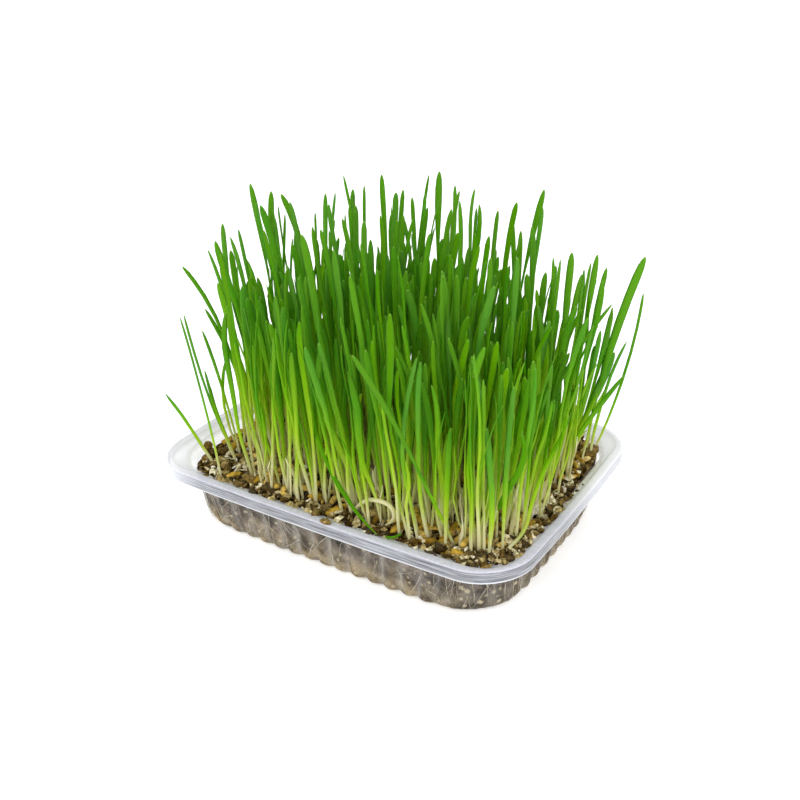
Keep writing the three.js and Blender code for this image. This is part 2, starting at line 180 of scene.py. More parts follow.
def rampFrom(tree, source, stops):
    # Colour stops (place, colour) read by a number from 0 to 1.
    node = tree.nodes.new("ShaderNodeValToRGB")
    elements = node.color_ramp.elements
    while len(elements) < len(stops):
        elements.new(0.5)
    for element, (place, colour) in zip(elements, stops):
        element.position = place
        element.color = (*colour, 1.0)
    feed(tree, node.inputs[0], source)
    return node.outputs["Color"]


def paintRamp(tree, source, stops):
    # Stops of a place and a colour as seen on a screen: (place, red, green, blue).
    return rampFrom(tree, source, [(place, onScreen(*colour)) for place, *colour in stops])


def greyRamp(tree, source, stops):
    return rampFrom(tree, source, [(place, (value,) * 3) for place, value in stops])


def noiseFrom(tree, vector, scale, detail=3.0, stretch=(1.0, 1.0, 1.0), start=(0.0, 0.0, 0.0)):
    # Fractal noise from 0 to 1, on coordinates that are first stretched and moved.
    mapping = tree.nodes.new("ShaderNodeMapping")
    feed(tree, mapping.inputs["Vector"], vector)
    mapping.inputs["Scale"].default_value = stretch
    mapping.inputs["Location"].default_value = start
    node = tree.nodes.new("ShaderNodeTexNoise")
    feed(tree, node.inputs["Vector"], mapping.outputs[0])
    node.inputs["Scale"].default_value = scale
    node.inputs["Detail"].default_value = detail
    return node.outputs["Fac"]


def objectPlace(tree):
    return tree.nodes.new("ShaderNodeTexCoord").outputs["Object"]


def uvPlace(tree):
    return tree.nodes.new("ShaderNodeTexCoord").outputs["UV"]


def partOf(tree, vector, axis):
    node = tree.nodes.new("ShaderNodeSeparateXYZ")
    feed(tree, node.inputs[0], vector)
    return node.outputs[axis]


def fadeAlong(tree, place, axis, ends):
    # From 0 to 1 between two places along an axis, given in millimetres.
    start, end = ends
    slope = 1 / (end - start)
    along = partOf(tree, place, axis)
    return calculate(tree, "MULTIPLY_ADD", along, slope / millimetre, -start * slope, clamp=True)


def attributeValue(tree, name):
    node = tree.nodes.new("ShaderNodeAttribute")
    node.attribute_name = name
    return node.outputs["Fac"]


def addBump(tree, shader, height, strength, distance):
    node = tree.nodes.new("ShaderNodeBump")
    node.inputs["Strength"].default_value = strength
    node.inputs["Distance"].default_value = distance * millimetre
    feed(tree, node.inputs["Height"], height)
    tree.links.new(node.outputs["Normal"], shader.inputs["Normal"])


def putMesh(name, points, quads, tris, material, values=None, uv=None, smooth=True):
    # Whole arrays go straight into a mesh. uv is given per point or per corner.
    quads = np.asarray(quads, np.int32).reshape(-1, 4)
    tris = np.asarray(tris, np.int32).reshape(-1, 3)
    corners = np.concatenate([quads.ravel(), tris.ravel()])
    sizes = np.concatenate([np.full(len(quads), 4), np.full(len(tris), 3)])
    points = np.asarray(points, float).reshape(-1, 3)
    mesh = bpy.data.meshes.new(name)
    mesh.vertices.add(len(points))
    mesh.vertices.foreach_set("co", (points * millimetre).astype(np.float32).ravel())
    mesh.loops.add(len(corners))
    mesh.loops.foreach_set("vertex_index", corners)
    mesh.polygons.add(len(sizes))
    mesh.polygons.foreach_set("loop_start", (np.cumsum(sizes) - sizes).astype(np.int32))
    mesh.update(calc_edges=True)
    mesh.polygons.foreach_set("use_smooth", np.full(len(sizes), smooth))
    for key, data in (values or {}).items():
        attribute = mesh.attributes.new(key, "FLOAT", "POINT")
        attribute.data.foreach_set("value", np.asarray(data, np.float32).ravel())
    if uv is not None:
        uv = np.asarray(uv, np.float32).reshape(-1, 2)
        uv = uv[corners] if len(uv) == len(points) else uv
        mesh.uv_layers.new(name="surface").data.foreach_set("uv", uv.ravel())
    mesh.materials.append(material)
    piece = bpy.data.objects.new(name, mesh)
    bpy.context.scene.collection.objects.link(piece)
    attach(piece, "root")
    return piece


def wrappedQuads(rows, columns):
    # Quads over a grid whose last column joins its first. They face out when the rows run counterclockwise.
    row, column = np.meshgrid(np.arange(rows - 1), np.arange(columns), indexing="ij")
    here = row * columns + column
    beside = row * columns + (column + 1) % columns
    return np.stack([here, beside, beside + columns, here + columns], -1).reshape(-1, 4)


def fanTris(ring, centre, looksUp):
    beside = np.roll(ring, -1)
    middle = np.full(len(ring), centre)
    order = [ring, beside, middle] if looksUp else [beside, ring, middle]
    return np.stack(order, -1)


def endTris(rows, columns):
    # Fans that close a grid's first and last rows on the two points that follow the grid's own.
    ring = np.arange(columns)
    middle = rows * columns
    return np.concatenate([
        fanTris(ring, middle, False), fanTris(ring + (rows - 1) * columns, middle + 1, True),
    ])


def putCopies(name, points, body, material, values=None, smooth=True):
    # One mesh of many bodies that share their quads, tris and, in some, uv. points are given body by body.
    count, size = points.shape[:2]
    starts = size * np.arange(count)[:, None, None]
    quads, tris, *uv = body
    quads, tris = ((faces[None] + starts).reshape(-1, faces.shape[1]) for faces in (quads, tris))
    uv = np.tile(uv[0], (count, 1)) if uv else None
    return putMesh(name, points, quads, tris, material, values, uv, smooth)


def eitherWay(draw, *shape):
    # Random values from -1 to 1.
    return 2 * draw.random(shape) - 1


def drawBetween(draw, count, pair):
    # Random values in a column, from the first number up to the first plus the second.
    return pair[0] + pair[1] * draw.random((count, 1))


def smoothStep(low, high, value):
    share = np.clip((value - low) / (high - low), 0.0, 1.0)
    return share * share * (3.0 - 2.0 * share)


streamFactor, streamLimit = 16807, 2147483647


def randomStream(seed):
    # Each state is a factor times the last, modulo 2^31 - 1, read as a number from 0 to 1.
    state = seed
    while True:
        state = state * streamFactor % streamLimit
        yield state / streamLimit


noiseSize = 64
noiseTables = {seed: np.random.default_rng(seed).random((noiseSize, noiseSize)) for seed in (3, 5, 8, 13)}


def patchNoise(x, y, seed):
    # Random values at whole coordinates, joined by cubic steps between them.
    table = noiseTables[seed]
    left = np.floor(x).astype(int)
    low = np.floor(y).astype(int)
    shareX = smoothStep(0.0, 1.0, x - left)
    shareY = smoothStep(0.0, 1.0, y - low)
    corner = lambda i, j: table[(left + i) % noiseSize, (low + j) % noiseSize]
    front = corner(0, 0) * (1 - shareX) + corner(1, 0) * shareX
    back = corner(0, 1) * (1 - shareX) + corner(1, 1) * shareX
    return front * (1 - shareY) + back * shareY


trayShape = {
    "halfLength": 93.5, "halfWidth": 68.5, "sideBow": 1.5, "softenTimes": 2,
    "fluteDepth": 1.15, "longFlutes": 13, "shortFlutes": 7, "samplesPerFlute": 12, "samplesPerCorner": 26,
    # insets and heights between which the flange, the lip's face and its bottom line fade out
    "lipInset": (7.0, 9.4), "lipHeight": (26.0, 27.0), "lipFace": (1.0, 1.6), "lipTop": 32.4,
    "lipFoot": (27.1, 27.8),
    # inset from the lip, corner radius, height and share of the flutes
    "rings": [
        (14.9, 24.0, 0.0, 0.0), (12.6, 25.0, 0.9, 1.5), (11.5, 24.5, 3.6, 1.5), (9.5, 22.5, 25.0, 1.0),
        (8.3, 21.5, 28.2, 0.0), (6.9, 20.0, 30.2, 0.0), (3.3, 16.2, 31.9, 0.0), (1.2, 22.0, 31.9, 0.0),
        (0.8, 22.4, 27.0, 0.0), (0.0, 23.0, 27.0, 0.0), (0.0, 23.0, 32.2, 0.0), (0.7, 22.5, 32.8, 0.0),
        (3.9, 15.6, 32.8, 0.0), (4.7, 16.0, 32.0, 0.0), (7.6, 20.8, 31.0, 0.0), (8.9, 21.9, 28.9, 0.2),
        (9.9, 22.9, 25.0, 1.0), (11.9, 24.8, 3.7, 1.5), (12.9, 25.2, 1.2, 1.5), (14.6, 24.6, 0.5, 0.2),
    ],
}


stepsRound = 8  # one for each side and one for each corner


def fluteWave(step):
    # Round lobes that stand out from the wall and meet in sharp grooves: the size of a cosine. A corner is
    # one broad lobe.
    side = np.floor(step / 2).astype(int) % 4
    part = step - 2 * np.floor(step / 2)
    flutes = np.where(side % 2 == 0, trayShape["longFlutes"], trayShape["shortFlutes"])
    lobes = np.abs(np.cos(np.pi * flutes * (part - 0.5)))
    return np.where(part < 1, lobes, np.sqrt(np.abs(np.sin(np.pi * part))))


def trayPoint(inset, radius, height, step, flute=0.0):
    # A rounded rectangle: step counts one for each side and one for each corner. A side is straight with a
    # parabolic swell and a row of lobes, and a corner is a quarter circle.
    inset, radius, height, step, flute = np.broadcast_arrays(inset, radius, height, step, flute)
    side = np.floor(step / 2).astype(int) % 4
    part = step - 2 * np.floor(step / 2)
    isLong = side % 2 == 0
    half = np.where(isLong, trayShape["halfLength"], trayShape["halfWidth"]) - inset
    reach = np.where(isLong, trayShape["halfWidth"], trayShape["halfLength"]) - inset
    swell = lambda position, extent: trayShape["sideBow"] * (1 - (position / extent) ** 2)
    straight = half - radius
    sideAlong = (2 * part - 1) * straight
    lobe = flute * trayShape["fluteDepth"] * fluteWave(step)
    sideOut = reach + swell(sideAlong, half) + lobe
    angle = (part - 1) * np.pi / 2
    cornerOut = reach + radius * (np.cos(angle) - 1)
    cornerAlong = straight + radius * np.sin(angle) + (swell(cornerOut, reach) + lobe) * np.sin(angle)
    cornerOut = cornerOut + (swell(cornerAlong, half) + lobe) * np.cos(angle)
    along = np.where(part < 1, sideAlong, cornerAlong)
    out = np.where(part < 1, sideOut, cornerOut)
    turn = side * np.pi / 2
    x = along * np.cos(turn) + out * np.sin(turn)
    y = along * np.sin(turn) - out * np.cos(turn)
    return np.stack([x, y, height], -1)


def traySteps():
    # Steps once round the tray, evenly spread on each side and each corner.
    steps = []
    for side in range(stepsRound // 2):
        flutes = trayShape["longFlutes"] if side % 2 == 0 else trayShape["shortFlutes"]
        count = flutes * trayShape["samplesPerFlute"]
        steps.append(2 * side + np.arange(count) / count)
        steps.append(2 * side + 1 + np.arange(trayShape["samplesPerCorner"]) / trayShape["samplesPerCorner"])
    return np.concatenate(steps)


def softenProfile(rings, times):
    # Cuts every corner of a profile at a quarter of its two edges, times over.
    for _ in range(times):
        low = 0.75 * rings[:-1] + 0.25 * rings[1:]
        high = 0.25 * rings[:-1] + 0.75 * rings[1:]
        middle = np.stack([low, high], 1).reshape(-1, rings.shape[1])
        rings = np.concatenate([rings[:1], middle, rings[-1:]])
    return rings


def surfaceUv(grid):
    # Distances in centimetres along the rows and up the columns, for the corners of wrappedQuads.
    closed = np.concatenate([grid, grid[:, :1]], 1)
    along = np.linalg.norm(np.diff(closed[len(closed) // 2], axis=0), axis=1).cumsum()
    along = np.concatenate([[0.0], along]) / 10
    up = np.linalg.norm(np.diff(grid[:, 0], axis=0), axis=1).cumsum()
    up = np.concatenate([[0.0], up]) / 10
    u, v = np.meshgrid(along, up)
    uv = np.stack([u, v], -1)
    return np.stack([uv[:-1, :-1], uv[:-1, 1:], uv[1:, 1:], uv[1:, :-1]], 2).reshape(-1, 2)


# a noise is its scale, detail, stretch and start, a ramp is rows of (place, value) or of
# (place, red, green, blue), and colours go from 0 to 255
plasticFinish = {
    "rough": 0.22, "refraction": 1.46, "grain": (900.0, 2.0), "bumpNoise": (160.0, 2.0), "bump": (0.1, 0.4),
    "streak": (1.0, 4.0, (0.42, 24.0, 1.0)), "cloud": (1.0, 4.0, (2.2, 0.7, 1.0)),
    "fineStreak": (1.0, 2.0, (0.8, 70.0, 1.0), (3.0, 1.0, 0.0)),
    "clearRim": ((0.35, 248, 245, 252), (0.65, 253, 251, 255)),
    "shadedFrontRim": ((0.35, 200, 198, 211), (0.65, 214, 212, 224)),
    "face": ((0.36, 96, 97, 102), (0.5, 130, 131, 137), (0.64, 176, 178, 184)),
    "brightStreaks": ((0.58, 0.0), (0.68, 0.6)), "brightStreak": (224, 226, 234),
    "plainFace": (226, 228, 235), "footLine": (238, 239, 244), "wall": (216, 212, 202),
    # the left corner, which is clearer and painted lighter as if lit, and the front, where the rim and the
    # lip's face are painted greyer as shade, end between these places
    "litClearCorner": (-84.0, -58.0), "shadedFrontEnds": (16.0, -20.0), "faceShadeReach": (0.55, 0.45),
    # opacity of the milk, the grooves, the rim, the lip's face and the left corner, whose extra milk is
    # painted light
    "milk": ((0.42, 0.02), (0.74, 0.11)), "groove": 0.26, "rimVeil": (0.24, 0.62), "faceVeil": 0.93,
    "litCornerVeil": (-0.2, 0.2),
}


def clearPlastic():
    # Clear plastic with a milky veil that is thicker in the grooves. The flange is bright, and the lip's face
    # is painted grey as shade and darker reflection, with fine streaks along it, over a bright line at its
    # foot. The rim and face are painted greyer towards the front as shade, and paler at the left corner as if
    # lit there.
    finish = plasticFinish
    material, tree, shader = startMaterial("clearPlastic", {
        "Roughness": finish["rough"], "IOR": finish["refraction"],
    })
    lip, face = attributeValue(tree, "lip"), attributeValue(tree, "lipFace")
    place, surface = objectPlace(tree), uvPlace(tree)
    # painted light: the left corner is painted paler, as if lit, and its rim is made clearer
    offLitClearCorner = fadeAlong(tree, place, "X", finish["litClearCorner"])
    frontShadeShare = fadeAlong(tree, place, "Y", finish["shadedFrontEnds"])
    grain = noiseFrom(tree, place, *finish["grain"])
    clearRim, shadedFrontRim = (paintRamp(tree, grain, finish[key]) for key in ("clearRim", "shadedFrontRim"))
    # painted shade: the rim turns greyer towards the front
    rimColour = blendColours(tree, "MIX", calculate(tree, "MULTIPLY", offLitClearCorner, frontShadeShare), clearRim, shadedFrontRim)
    # painted shade and reflection: the lip's face is grey, with streaks along it
    faceColour = paintRamp(tree, noiseFrom(tree, surface, *finish["streak"]), finish["face"])
    bright = greyRamp(tree, noiseFrom(tree, surface, *finish["fineStreak"]), finish["brightStreaks"])
    faceColour = blendColours(tree, "MIX", bright, faceColour, onScreen(*finish["brightStreak"]))
    # painted shade: the face's grey is strongest at the front, less at the back and none at the lit left
    # corner
    frontFaceShade = calculate(tree, "MULTIPLY_ADD", frontShadeShare, *finish["faceShadeReach"])
    paintedFaceShade = calculate(tree, "MULTIPLY", offLitClearCorner, frontFaceShade)
    faceColour = blendColours(tree, "MIX", paintedFaceShade, onScreen(*finish["plainFace"]), faceColour)
    line = attributeValue(tree, "lipLine")
    faceColour = blendColours(tree, "MIX", line, faceColour, onScreen(*finish["footLine"]))
    colour = blendColours(tree, "MIX", lip, onScreen(*finish["wall"]), rimColour)
    feed(tree, shader.inputs["Base Color"], blendColours(tree, "MIX", face, colour, faceColour))
    cloud = noiseFrom(tree, surface, *finish["cloud"])
    uneven = calculate(tree, "MULTIPLY", attributeValue(tree, "groove"), cloud)
    alpha = calculate(tree, "MULTIPLY_ADD", uneven, finish["groove"], greyRamp(tree, cloud, finish["milk"]))
    rimVeil = calculate(tree, "MULTIPLY", lip, calculate(tree, "MULTIPLY_ADD", offLitClearCorner, *finish["rimVeil"]))
    faceVeil = calculate(tree, "MULTIPLY", face, finish["faceVeil"])
    # painted light: extra milk at the left corner, which catches the light
    litCornerVeil = calculate(tree, "MULTIPLY_ADD", offLitClearCorner, *finish["litCornerVeil"])
    for veil in (rimVeil, faceVeil, litCornerVeil):
        alpha = calculate(tree, "MAXIMUM", alpha, veil)
    feed(tree, shader.inputs["Alpha"], alpha)
    addBump(tree, shader, noiseFrom(tree, place, *finish["bumpNoise"]), *finish["bump"])
    return material


def makeTray():
    # Soft profile rings of inset, radius and height, each walked round the rounded rectangle.
    rings = softenProfile(np.array(trayShape["rings"]), trayShape["softenTimes"])
    steps = traySteps()
    grid = trayPoint(rings[:, :1], rings[:, 1:2], rings[:, 2:3], steps[None], rings[:, 3:4])
    rows, columns = grid.shape[:2]
    points = np.concatenate([grid.reshape(-1, 3), [(0, 0, rings[0, 2]), (0, 0, rings[-1, 2])]])
    tris = endTris(rows, columns)
    uv = np.concatenate([surfaceUv(grid), np.zeros((3 * len(tris), 2))])
    inset, height, flute = rings[:, 0], rings[:, 2], rings[:, 3]
    lip = 1 - smoothStep(*trayShape["lipInset"], inset)
    lip *= smoothStep(*trayShape["lipHeight"], height)
    face = (1 - smoothStep(*trayShape["lipFace"], inset)) * (height < trayShape["lipTop"])
    line = face * (1 - smoothStep(*trayShape["lipFoot"], height))
    groove = np.minimum(flute, 1)[:, None] * (1 - fluteWave(steps)[None]) ** 2 * (steps % 2 < 1)
    spread = lambda ringValue: np.concatenate([np.repeat(ringValue, columns), [0.0, 0.0]])
    values = {
        "lip": spread(lip), "lipFace": spread(face), "lipLine": spread(line),
        "groove": np.concatenate([groove.ravel(), [0.0, 0.0]]),
    }
    quads = wrappedQuads(rows, columns)
    tray = putMesh("clearTray", points, quads, tris, clearPlastic(), values, uv)
    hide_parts("tray")
    print("tray:", len(points), "points")


soilShape = {
    "top": 28.9,
    "lumpHeight": 0.5, "lumpLengthX": 15.0, "lumpLengthY": 17.0, "lumpWarp": 1.3, "levelEdge": 9.0,
    # inset, corner radius, height and share of the flutes, from the foot to the top edge
    "rings": [
        (14.1, 24.7, 0.5, 0.8), (12.95, 25.2, 1.15, 1.5), (12.0, 24.8, 3.8, 1.5), (10.0, 22.9, 25.0, 1.0),
        (9.5, 22.4, 27.4, 0.5), (9.1, 22.1, 28.7, 0.2),
    ],
    # dents and roughness: how strong, then for each of two noises its table, share and sizes
    "sideRows": 36, "topRows": 78, "sideDent": 0.55, "topRough": 1.6, "roughFade": 3.0, "topMean": 0.75,
    "dentNoise": ((3, 1.0, 22, 2.2), (5, 0.5, 55, 0.9)), "topNoise": ((8, 1.0, 2.6), (13, 0.5, 1.1)),
    # crumbs bank up against the wall, except at the left end, where the soil lies lower and loose bits keep
    # off, and at the back right corner
    "bankHeight": 1.9, "bankWidth": 7.0,
    "bankEnd": (-72.0, -46.0), "bankStop": (-6.0, 22.0), "rightSide": (58.0, 72.0),
    "endDip": 4.2, "dipReach": (-83.0, -70.0), "endRoom": 4.5, "roomReach": (-84.0, -62.0),
    # inset and height of the tray's inner face, on which the highest crumbs lie
    "shoulder": ((3.9, 4.7, 7.6, 8.9, 9.9), (32.8, 32.0, 31.0, 28.9, 25.0)),
}


def soilEdge(height):
    # Inset, corner radius and flute share of the soil's side at a height.
    rings = np.array(soilShape["rings"])
    return [np.interp(height, rings[:, 2], rings[:, column]) for column in (0, 1, 3)]


def edgeRoom(x, y):
    # Distance from a point on the soil to the edge of its top.
    inset, radius = soilShape["rings"][-1][:2]
    overX = np.maximum(0, np.abs(x) - (trayShape["halfLength"] - inset - radius))
    overY = np.maximum(0, np.abs(y) - (trayShape["halfWidth"] - inset - radius))
    return radius - np.hypot(overX, overY)


def bankShare(x, y):
    # The bank runs out at the left end and towards the back right corner.
    backRight = smoothStep(*soilShape["bankStop"], y) * smoothStep(*soilShape["rightSide"], x)
    return smoothStep(*soilShape["bankEnd"], x) * (1 - backRight)


def endDip(x):
    # How much lower the soil lies at the left end.
    return soilShape["endDip"] * (1 - smoothStep(*soilShape["dipReach"], x))


def soilHeight(x, y):
    # Crossed sine lumps that fade to level at the wall, and a bank of crumbs against it.
    turnX = 2 * np.pi * x / soilShape["lumpLengthX"]
    turnY = 2 * np.pi * y / soilShape["lumpLengthY"]
    warp = soilShape["lumpWarp"]
    lumps = np.sin(turnX + warp * np.sin(turnY / 2)) * np.cos(turnY - warp * np.sin(turnX / 2))
    room = edgeRoom(x, y)
    fade = np.clip(room / soilShape["levelEdge"], 0, 1)
    bank = soilShape["bankHeight"] * (1 - smoothStep(0, soilShape["bankWidth"], room))
    bank = bank * bankShare(x, y)
    return soilShape["top"] + soilShape["lumpHeight"] * fade * lumps + bank - endDip(x)


soilFinish = {
    "coarse": (330.0, 5.0), "fine": (1300.0, 3.0), "patch": (150.0, 6.0, (1.0,) * 3, (0.3, 0.1, 0.2)),
    "top": ((0.34, 16, 9, 1), (0.47, 56, 40, 10), (0.56, 108, 86, 36), (0.68, 184, 164, 108)),
    "sideDark": ((0.36, 40, 32, 22), (0.45, 78, 67, 58), (0.55, 108, 97, 88), (0.68, 144, 132, 120)),
    "sideTan": ((0.34, 88, 72, 42), (0.46, 136, 118, 82), (0.62, 178, 160, 120)),
    # the tan ends at a height, per metre, that wanders by a noise
    "wanderNoise": (60.0, 3.0, (1.0,) * 3, (1.0, 2.0, 0.5)), "wander": 0.024, "levelScale": 30.0,
    "low": ((0.34, 1.0), (0.76, 0.0)),
    # the front right corner is where X - Y, per metre, is large: less tan, darker and with more pale crumbs
    "reachScale": 5.0, "corner": ((0.52, 0.0), (0.62, 1.0)), "cornerTan": -0.7,
    "cornerShade": (0.8, (0.66, 0.66, 0.66)), "cornerNear": -0.12, "cornerRank": 0.14,
    # pale crumbs: scale, broken edge, size, share of all crumbs and colour
    "crumbScale": 290.0, "crumbEdge": 0.8, "crumbSize": ((0.54, 1.0), (0.68, 0.0)),
    "crumbShare": ((0.66, 0.0), (0.72, 1.0)), "crumbColour": (186, 174, 144),
    "grit": ((0.3, 0.62), (0.7, 1.25)), "fineBump": 0.5, "bump": (0.9, 1.6),
}


def crumblySoil():
    # Dark peat on top. The side is greyer and turns to tan towards the foot, with pale crumbs pressed in it.
    finish = soilFinish
    material, tree, shader = startMaterial("crumblySoil", {"Roughness": 0.95, "Specular IOR Level": 0.0})
    place = objectPlace(tree)
    coarse, fine, patch, stray = (
        noiseFrom(tree, place, *finish[key]) for key in ("coarse", "fine", "patch", "wanderNoise")
    )
    wander = calculate(tree, "MULTIPLY", stray, finish["wander"])
    level = calculate(tree, "ADD", partOf(tree, place, "Z"), wander)
    level = calculate(tree, "MULTIPLY", level, finish["levelScale"], clamp=True)
    reach = calculate(tree, "SUBTRACT", partOf(tree, place, "X"), partOf(tree, place, "Y"))
    reach = calculate(tree, "MULTIPLY", reach, finish["reachScale"], clamp=True)
    corner = greyRamp(tree, reach, finish["corner"])
    low = calculate(tree, "MULTIPLY", greyRamp(tree, level, finish["low"]),
                    calculate(tree, "MULTIPLY_ADD", corner, finish["cornerTan"], 1.0))
    sideDark, sideTan = (paintRamp(tree, patch, finish[key]) for key in ("sideDark", "sideTan"))
    sideColour = blendColours(tree, "MIX", low, sideDark, sideTan)
    share, shade = finish["cornerShade"]
    sideColour = blendColours(tree, "MULTIPLY", calculate(tree, "MULTIPLY", corner, share), sideColour, shade)
    crumbs = tree.nodes.new("ShaderNodeTexVoronoi")
    feed(tree, crumbs.inputs["Vector"], place)
    crumbs.inputs["Scale"].default_value = finish["crumbScale"]
    near = calculate(tree, "MULTIPLY_ADD", corner, finish["cornerNear"], crumbs.outputs["Distance"])
    near = calculate(tree, "MULTIPLY_ADD", fine, finish["crumbEdge"], near)
    rank = calculate(tree, "MULTIPLY_ADD", corner, finish["cornerRank"], crumbs.outputs["Color"])
    paleCrumb = calculate(tree, "MULTIPLY", greyRamp(tree, near, finish["crumbSize"]),
                          greyRamp(tree, rank, finish["crumbShare"]))
    sideColour = blendColours(tree, "MIX", paleCrumb, sideColour, onScreen(*finish["crumbColour"]))
    topColour = paintRamp(tree, coarse, finish["top"])
    colour = blendColours(tree, "MIX", attributeValue(tree, "flank"), topColour, sideColour)
    colour = blendColours(tree, "MULTIPLY", 1.0, colour, greyRamp(tree, fine, finish["grit"]))
    feed(tree, shader.inputs["Base Color"], colour)
    addBump(tree, shader, calculate(tree, "MULTIPLY_ADD", fine, finish["fineBump"], coarse), *finish["bump"])
    return material


def makeSoil():
    # The side climbs ring by ring, and the top runs in from its edge to the middle. Dents only go inwards.
    steps = traySteps()
    low, high = soilShape["rings"][0][2], soilShape["rings"][-1][2]
    topInset, topRadius = soilShape["rings"][-1][:2]
    topX = trayPoint(topInset, topRadius, high, steps)[:, 0]
    heights = low + (high - endDip(topX) - low) * np.linspace(0, 1, soilShape["sideRows"])[:, None]
    inset, radius, flute = soilEdge(heights)
    dent = sum(
        share * soilShape["sideDent"] * patchNoise(steps[None] * perStep, heights / size, table)
        for table, share, perStep, size in soilShape["dentNoise"]
    )
    side = trayPoint(inset + dent, radius, heights, steps[None], flute)
    shares = np.linspace(1, 0, soilShape["topRows"] + 1)[1:-1, None, None]
    top = side[-1:] * shares
    x, y = top[..., 0], top[..., 1]
    rough = sum(share * patchNoise(x / size, y / size, table) for table, share, size in soilShape["topNoise"])
    rough = rough - soilShape["topMean"]
    fade = np.clip(edgeRoom(x, y) / soilShape["roughFade"], 0, 1)
    top[..., 2] = soilHeight(x, y) + soilShape["topRough"] * fade * rough
    grid = np.concatenate([side, top])
    rows, columns = grid.shape[:2]
    points = np.concatenate([grid.reshape(-1, 3), [(0, 0, low), (0, 0, soilShape["top"])]])
    flank = np.concatenate([np.repeat(np.arange(rows) < soilShape["sideRows"], columns), [True, False]])
    soil = putMesh("soilBlock", points, wrappedQuads(rows, columns), endTris(rows, columns), crumblySoil(),
                   {"flank": flank})
    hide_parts("soil")
    print("soil:", len(points), "points")


def roundBody(levels):
    # An icosahedron divided levels - 1 times, with radius 1.
    shape = bmesh.new()
    bmesh.ops.create_icosphere(shape, subdivisions=levels, radius=1.0)
    points = np.array([vertex.co for vertex in shape.verts])
    tris = np.array([[vertex.index for vertex in face.verts] for face in shape.faces])
    shape.free()
    return points, np.zeros((0, 4), int), tris


def latheBody(along, radius, sides, crease=0.0):
    # Rings of a radius at places along X, closed by a point before the first and after the last. A crease
    # draws in one side of every ring.
    angle = 2 * np.pi * np.arange(sides) / sides
    inner = along[1:-1, None]
    ring = radius[1:-1, None] * (1 - crease * np.maximum(0, np.cos(angle)) ** 6)
    x = np.broadcast_to(inner, (len(inner), sides))
    grid = np.stack([x, ring * np.cos(angle), ring * np.sin(angle)], -1).reshape(-1, 3)
    points = np.concatenate([grid, [(along[0], 0, 0), (along[-1], 0, 0)]])
    return points, wrappedQuads(len(inner), sides), endTris(len(inner), sides)


def spinMatrices(heading, tilt, roll):
    # Turns about the long axis by roll, then up by tilt, then round by heading.
    zero, one = np.zeros_like(heading), np.ones_like(heading)
    stack = lambda rows: np.stack([np.stack(row, -1) for row in rows], -2)
    cosine, sine = np.cos, np.sin
    about = stack([
        [cosine(heading), -sine(heading), zero], [sine(heading), cosine(heading), zero], [zero, zero, one],
    ])
    up = stack([[cosine(tilt), zero, -sine(tilt)], [zero, one, zero], [sine(tilt), zero, cosine(tilt)]])
    over = stack([[one, zero, zero], [zero, cosine(roll), -sine(roll)], [zero, sine(roll), cosine(roll)]])
    return about @ up @ over


# ramp of colours by tone, scale of the specks, depth of the bump, roughness, and dust with painted top light
# on what faces up
looseFinishes = {
    "peatCrumb": (((0.1, 22, 13, 2), (0.36, 58, 41, 9), (0.56, 114, 90, 40), (0.7, 182, 162, 106),
                   (0.84, 244, 236, 204)), 700.0, 1.0, 0.9, 0.08),
    "barkChip": (((0.1, 50, 35, 9), (0.45, 112, 88, 38), (0.8, 178, 154, 96)), 600.0, 0.8, 0.9, 0.12),
    "paleFlake": (((0.1, 204, 192, 158), (0.5, 234, 228, 204), (0.9, 252, 250, 240)), 1200.0, 0.5, 0.9, 0.0),
    "wheatGrain": (((0.1, 126, 94, 26), (0.4, 174, 140, 50), (0.7, 206, 174, 88), (0.95, 232, 214, 150)),
                   500.0, 0.15, 0.6, 0.0),
    "strawBit": (((0.1, 170, 146, 88), (0.6, 208, 190, 136), (0.9, 234, 222, 186)), 500.0, 0.1, 0.9, 0.0),
}
# how tone and specks share the ramp, light and dark by the specks, where the dust and painted top light lie
# and their colour
looseShading = {
    "detail": 4.0, "speckShare": 0.35, "toneShare": 0.65, "shade": ((0.32, 0.55), (0.68, 1.3)),
    "dustLightFrom": 0.35, "dustLightTo": 0.95, "dustLightColour": (202, 190, 150), "bump": 0.9,
}


def looseMaterial(name):
    # Each bit takes its own colour from its tone, broken up by fine noise, and dust with painted top light
    # lies on what faces up.
    stops, grain, depth, roughness, dustAndTopLight = looseFinishes[name]
    shading = looseShading
    material, tree, shader = startMaterial(name, {"Roughness": roughness, "Specular IOR Level": 0.02})
    speck = noiseFrom(tree, objectPlace(tree), grain, shading["detail"])
    tone = calculate(tree, "MULTIPLY", attributeValue(tree, "tone"), shading["toneShare"])
    colour = paintRamp(tree, calculate(tree, "MULTIPLY_ADD", speck, shading["speckShare"], tone), stops)
    colour = blendColours(tree, "MULTIPLY", 1.0, colour, greyRamp(tree, speck, shading["shade"]))
    if dustAndTopLight:
        # dust and painted light: faces that look up are lightened, as dust and as the light that falls on tops
        facing = partOf(tree, tree.nodes.new("ShaderNodeNewGeometry").outputs["Normal"], "Z")
        topDustAndLight = greyRamp(tree, facing, [(shading["dustLightFrom"], 0.0), (shading["dustLightTo"], dustAndTopLight)])
        colour = blendColours(tree, "MIX", topDustAndLight, colour, onScreen(*shading["dustLightColour"]))
    feed(tree, shader.inputs["Base Color"], colour)
    addBump(tree, shader, speck, shading["bump"], depth)
    return material


def spreadCopies(base, lumps, sizes, spins, centres):
    # Copies of a body: roughened point by point, stretched, turned and moved.
    return np.einsum("nij,nvj->nvi", spins, base[None] * lumps * sizes[:, None]) + centres[:, None]


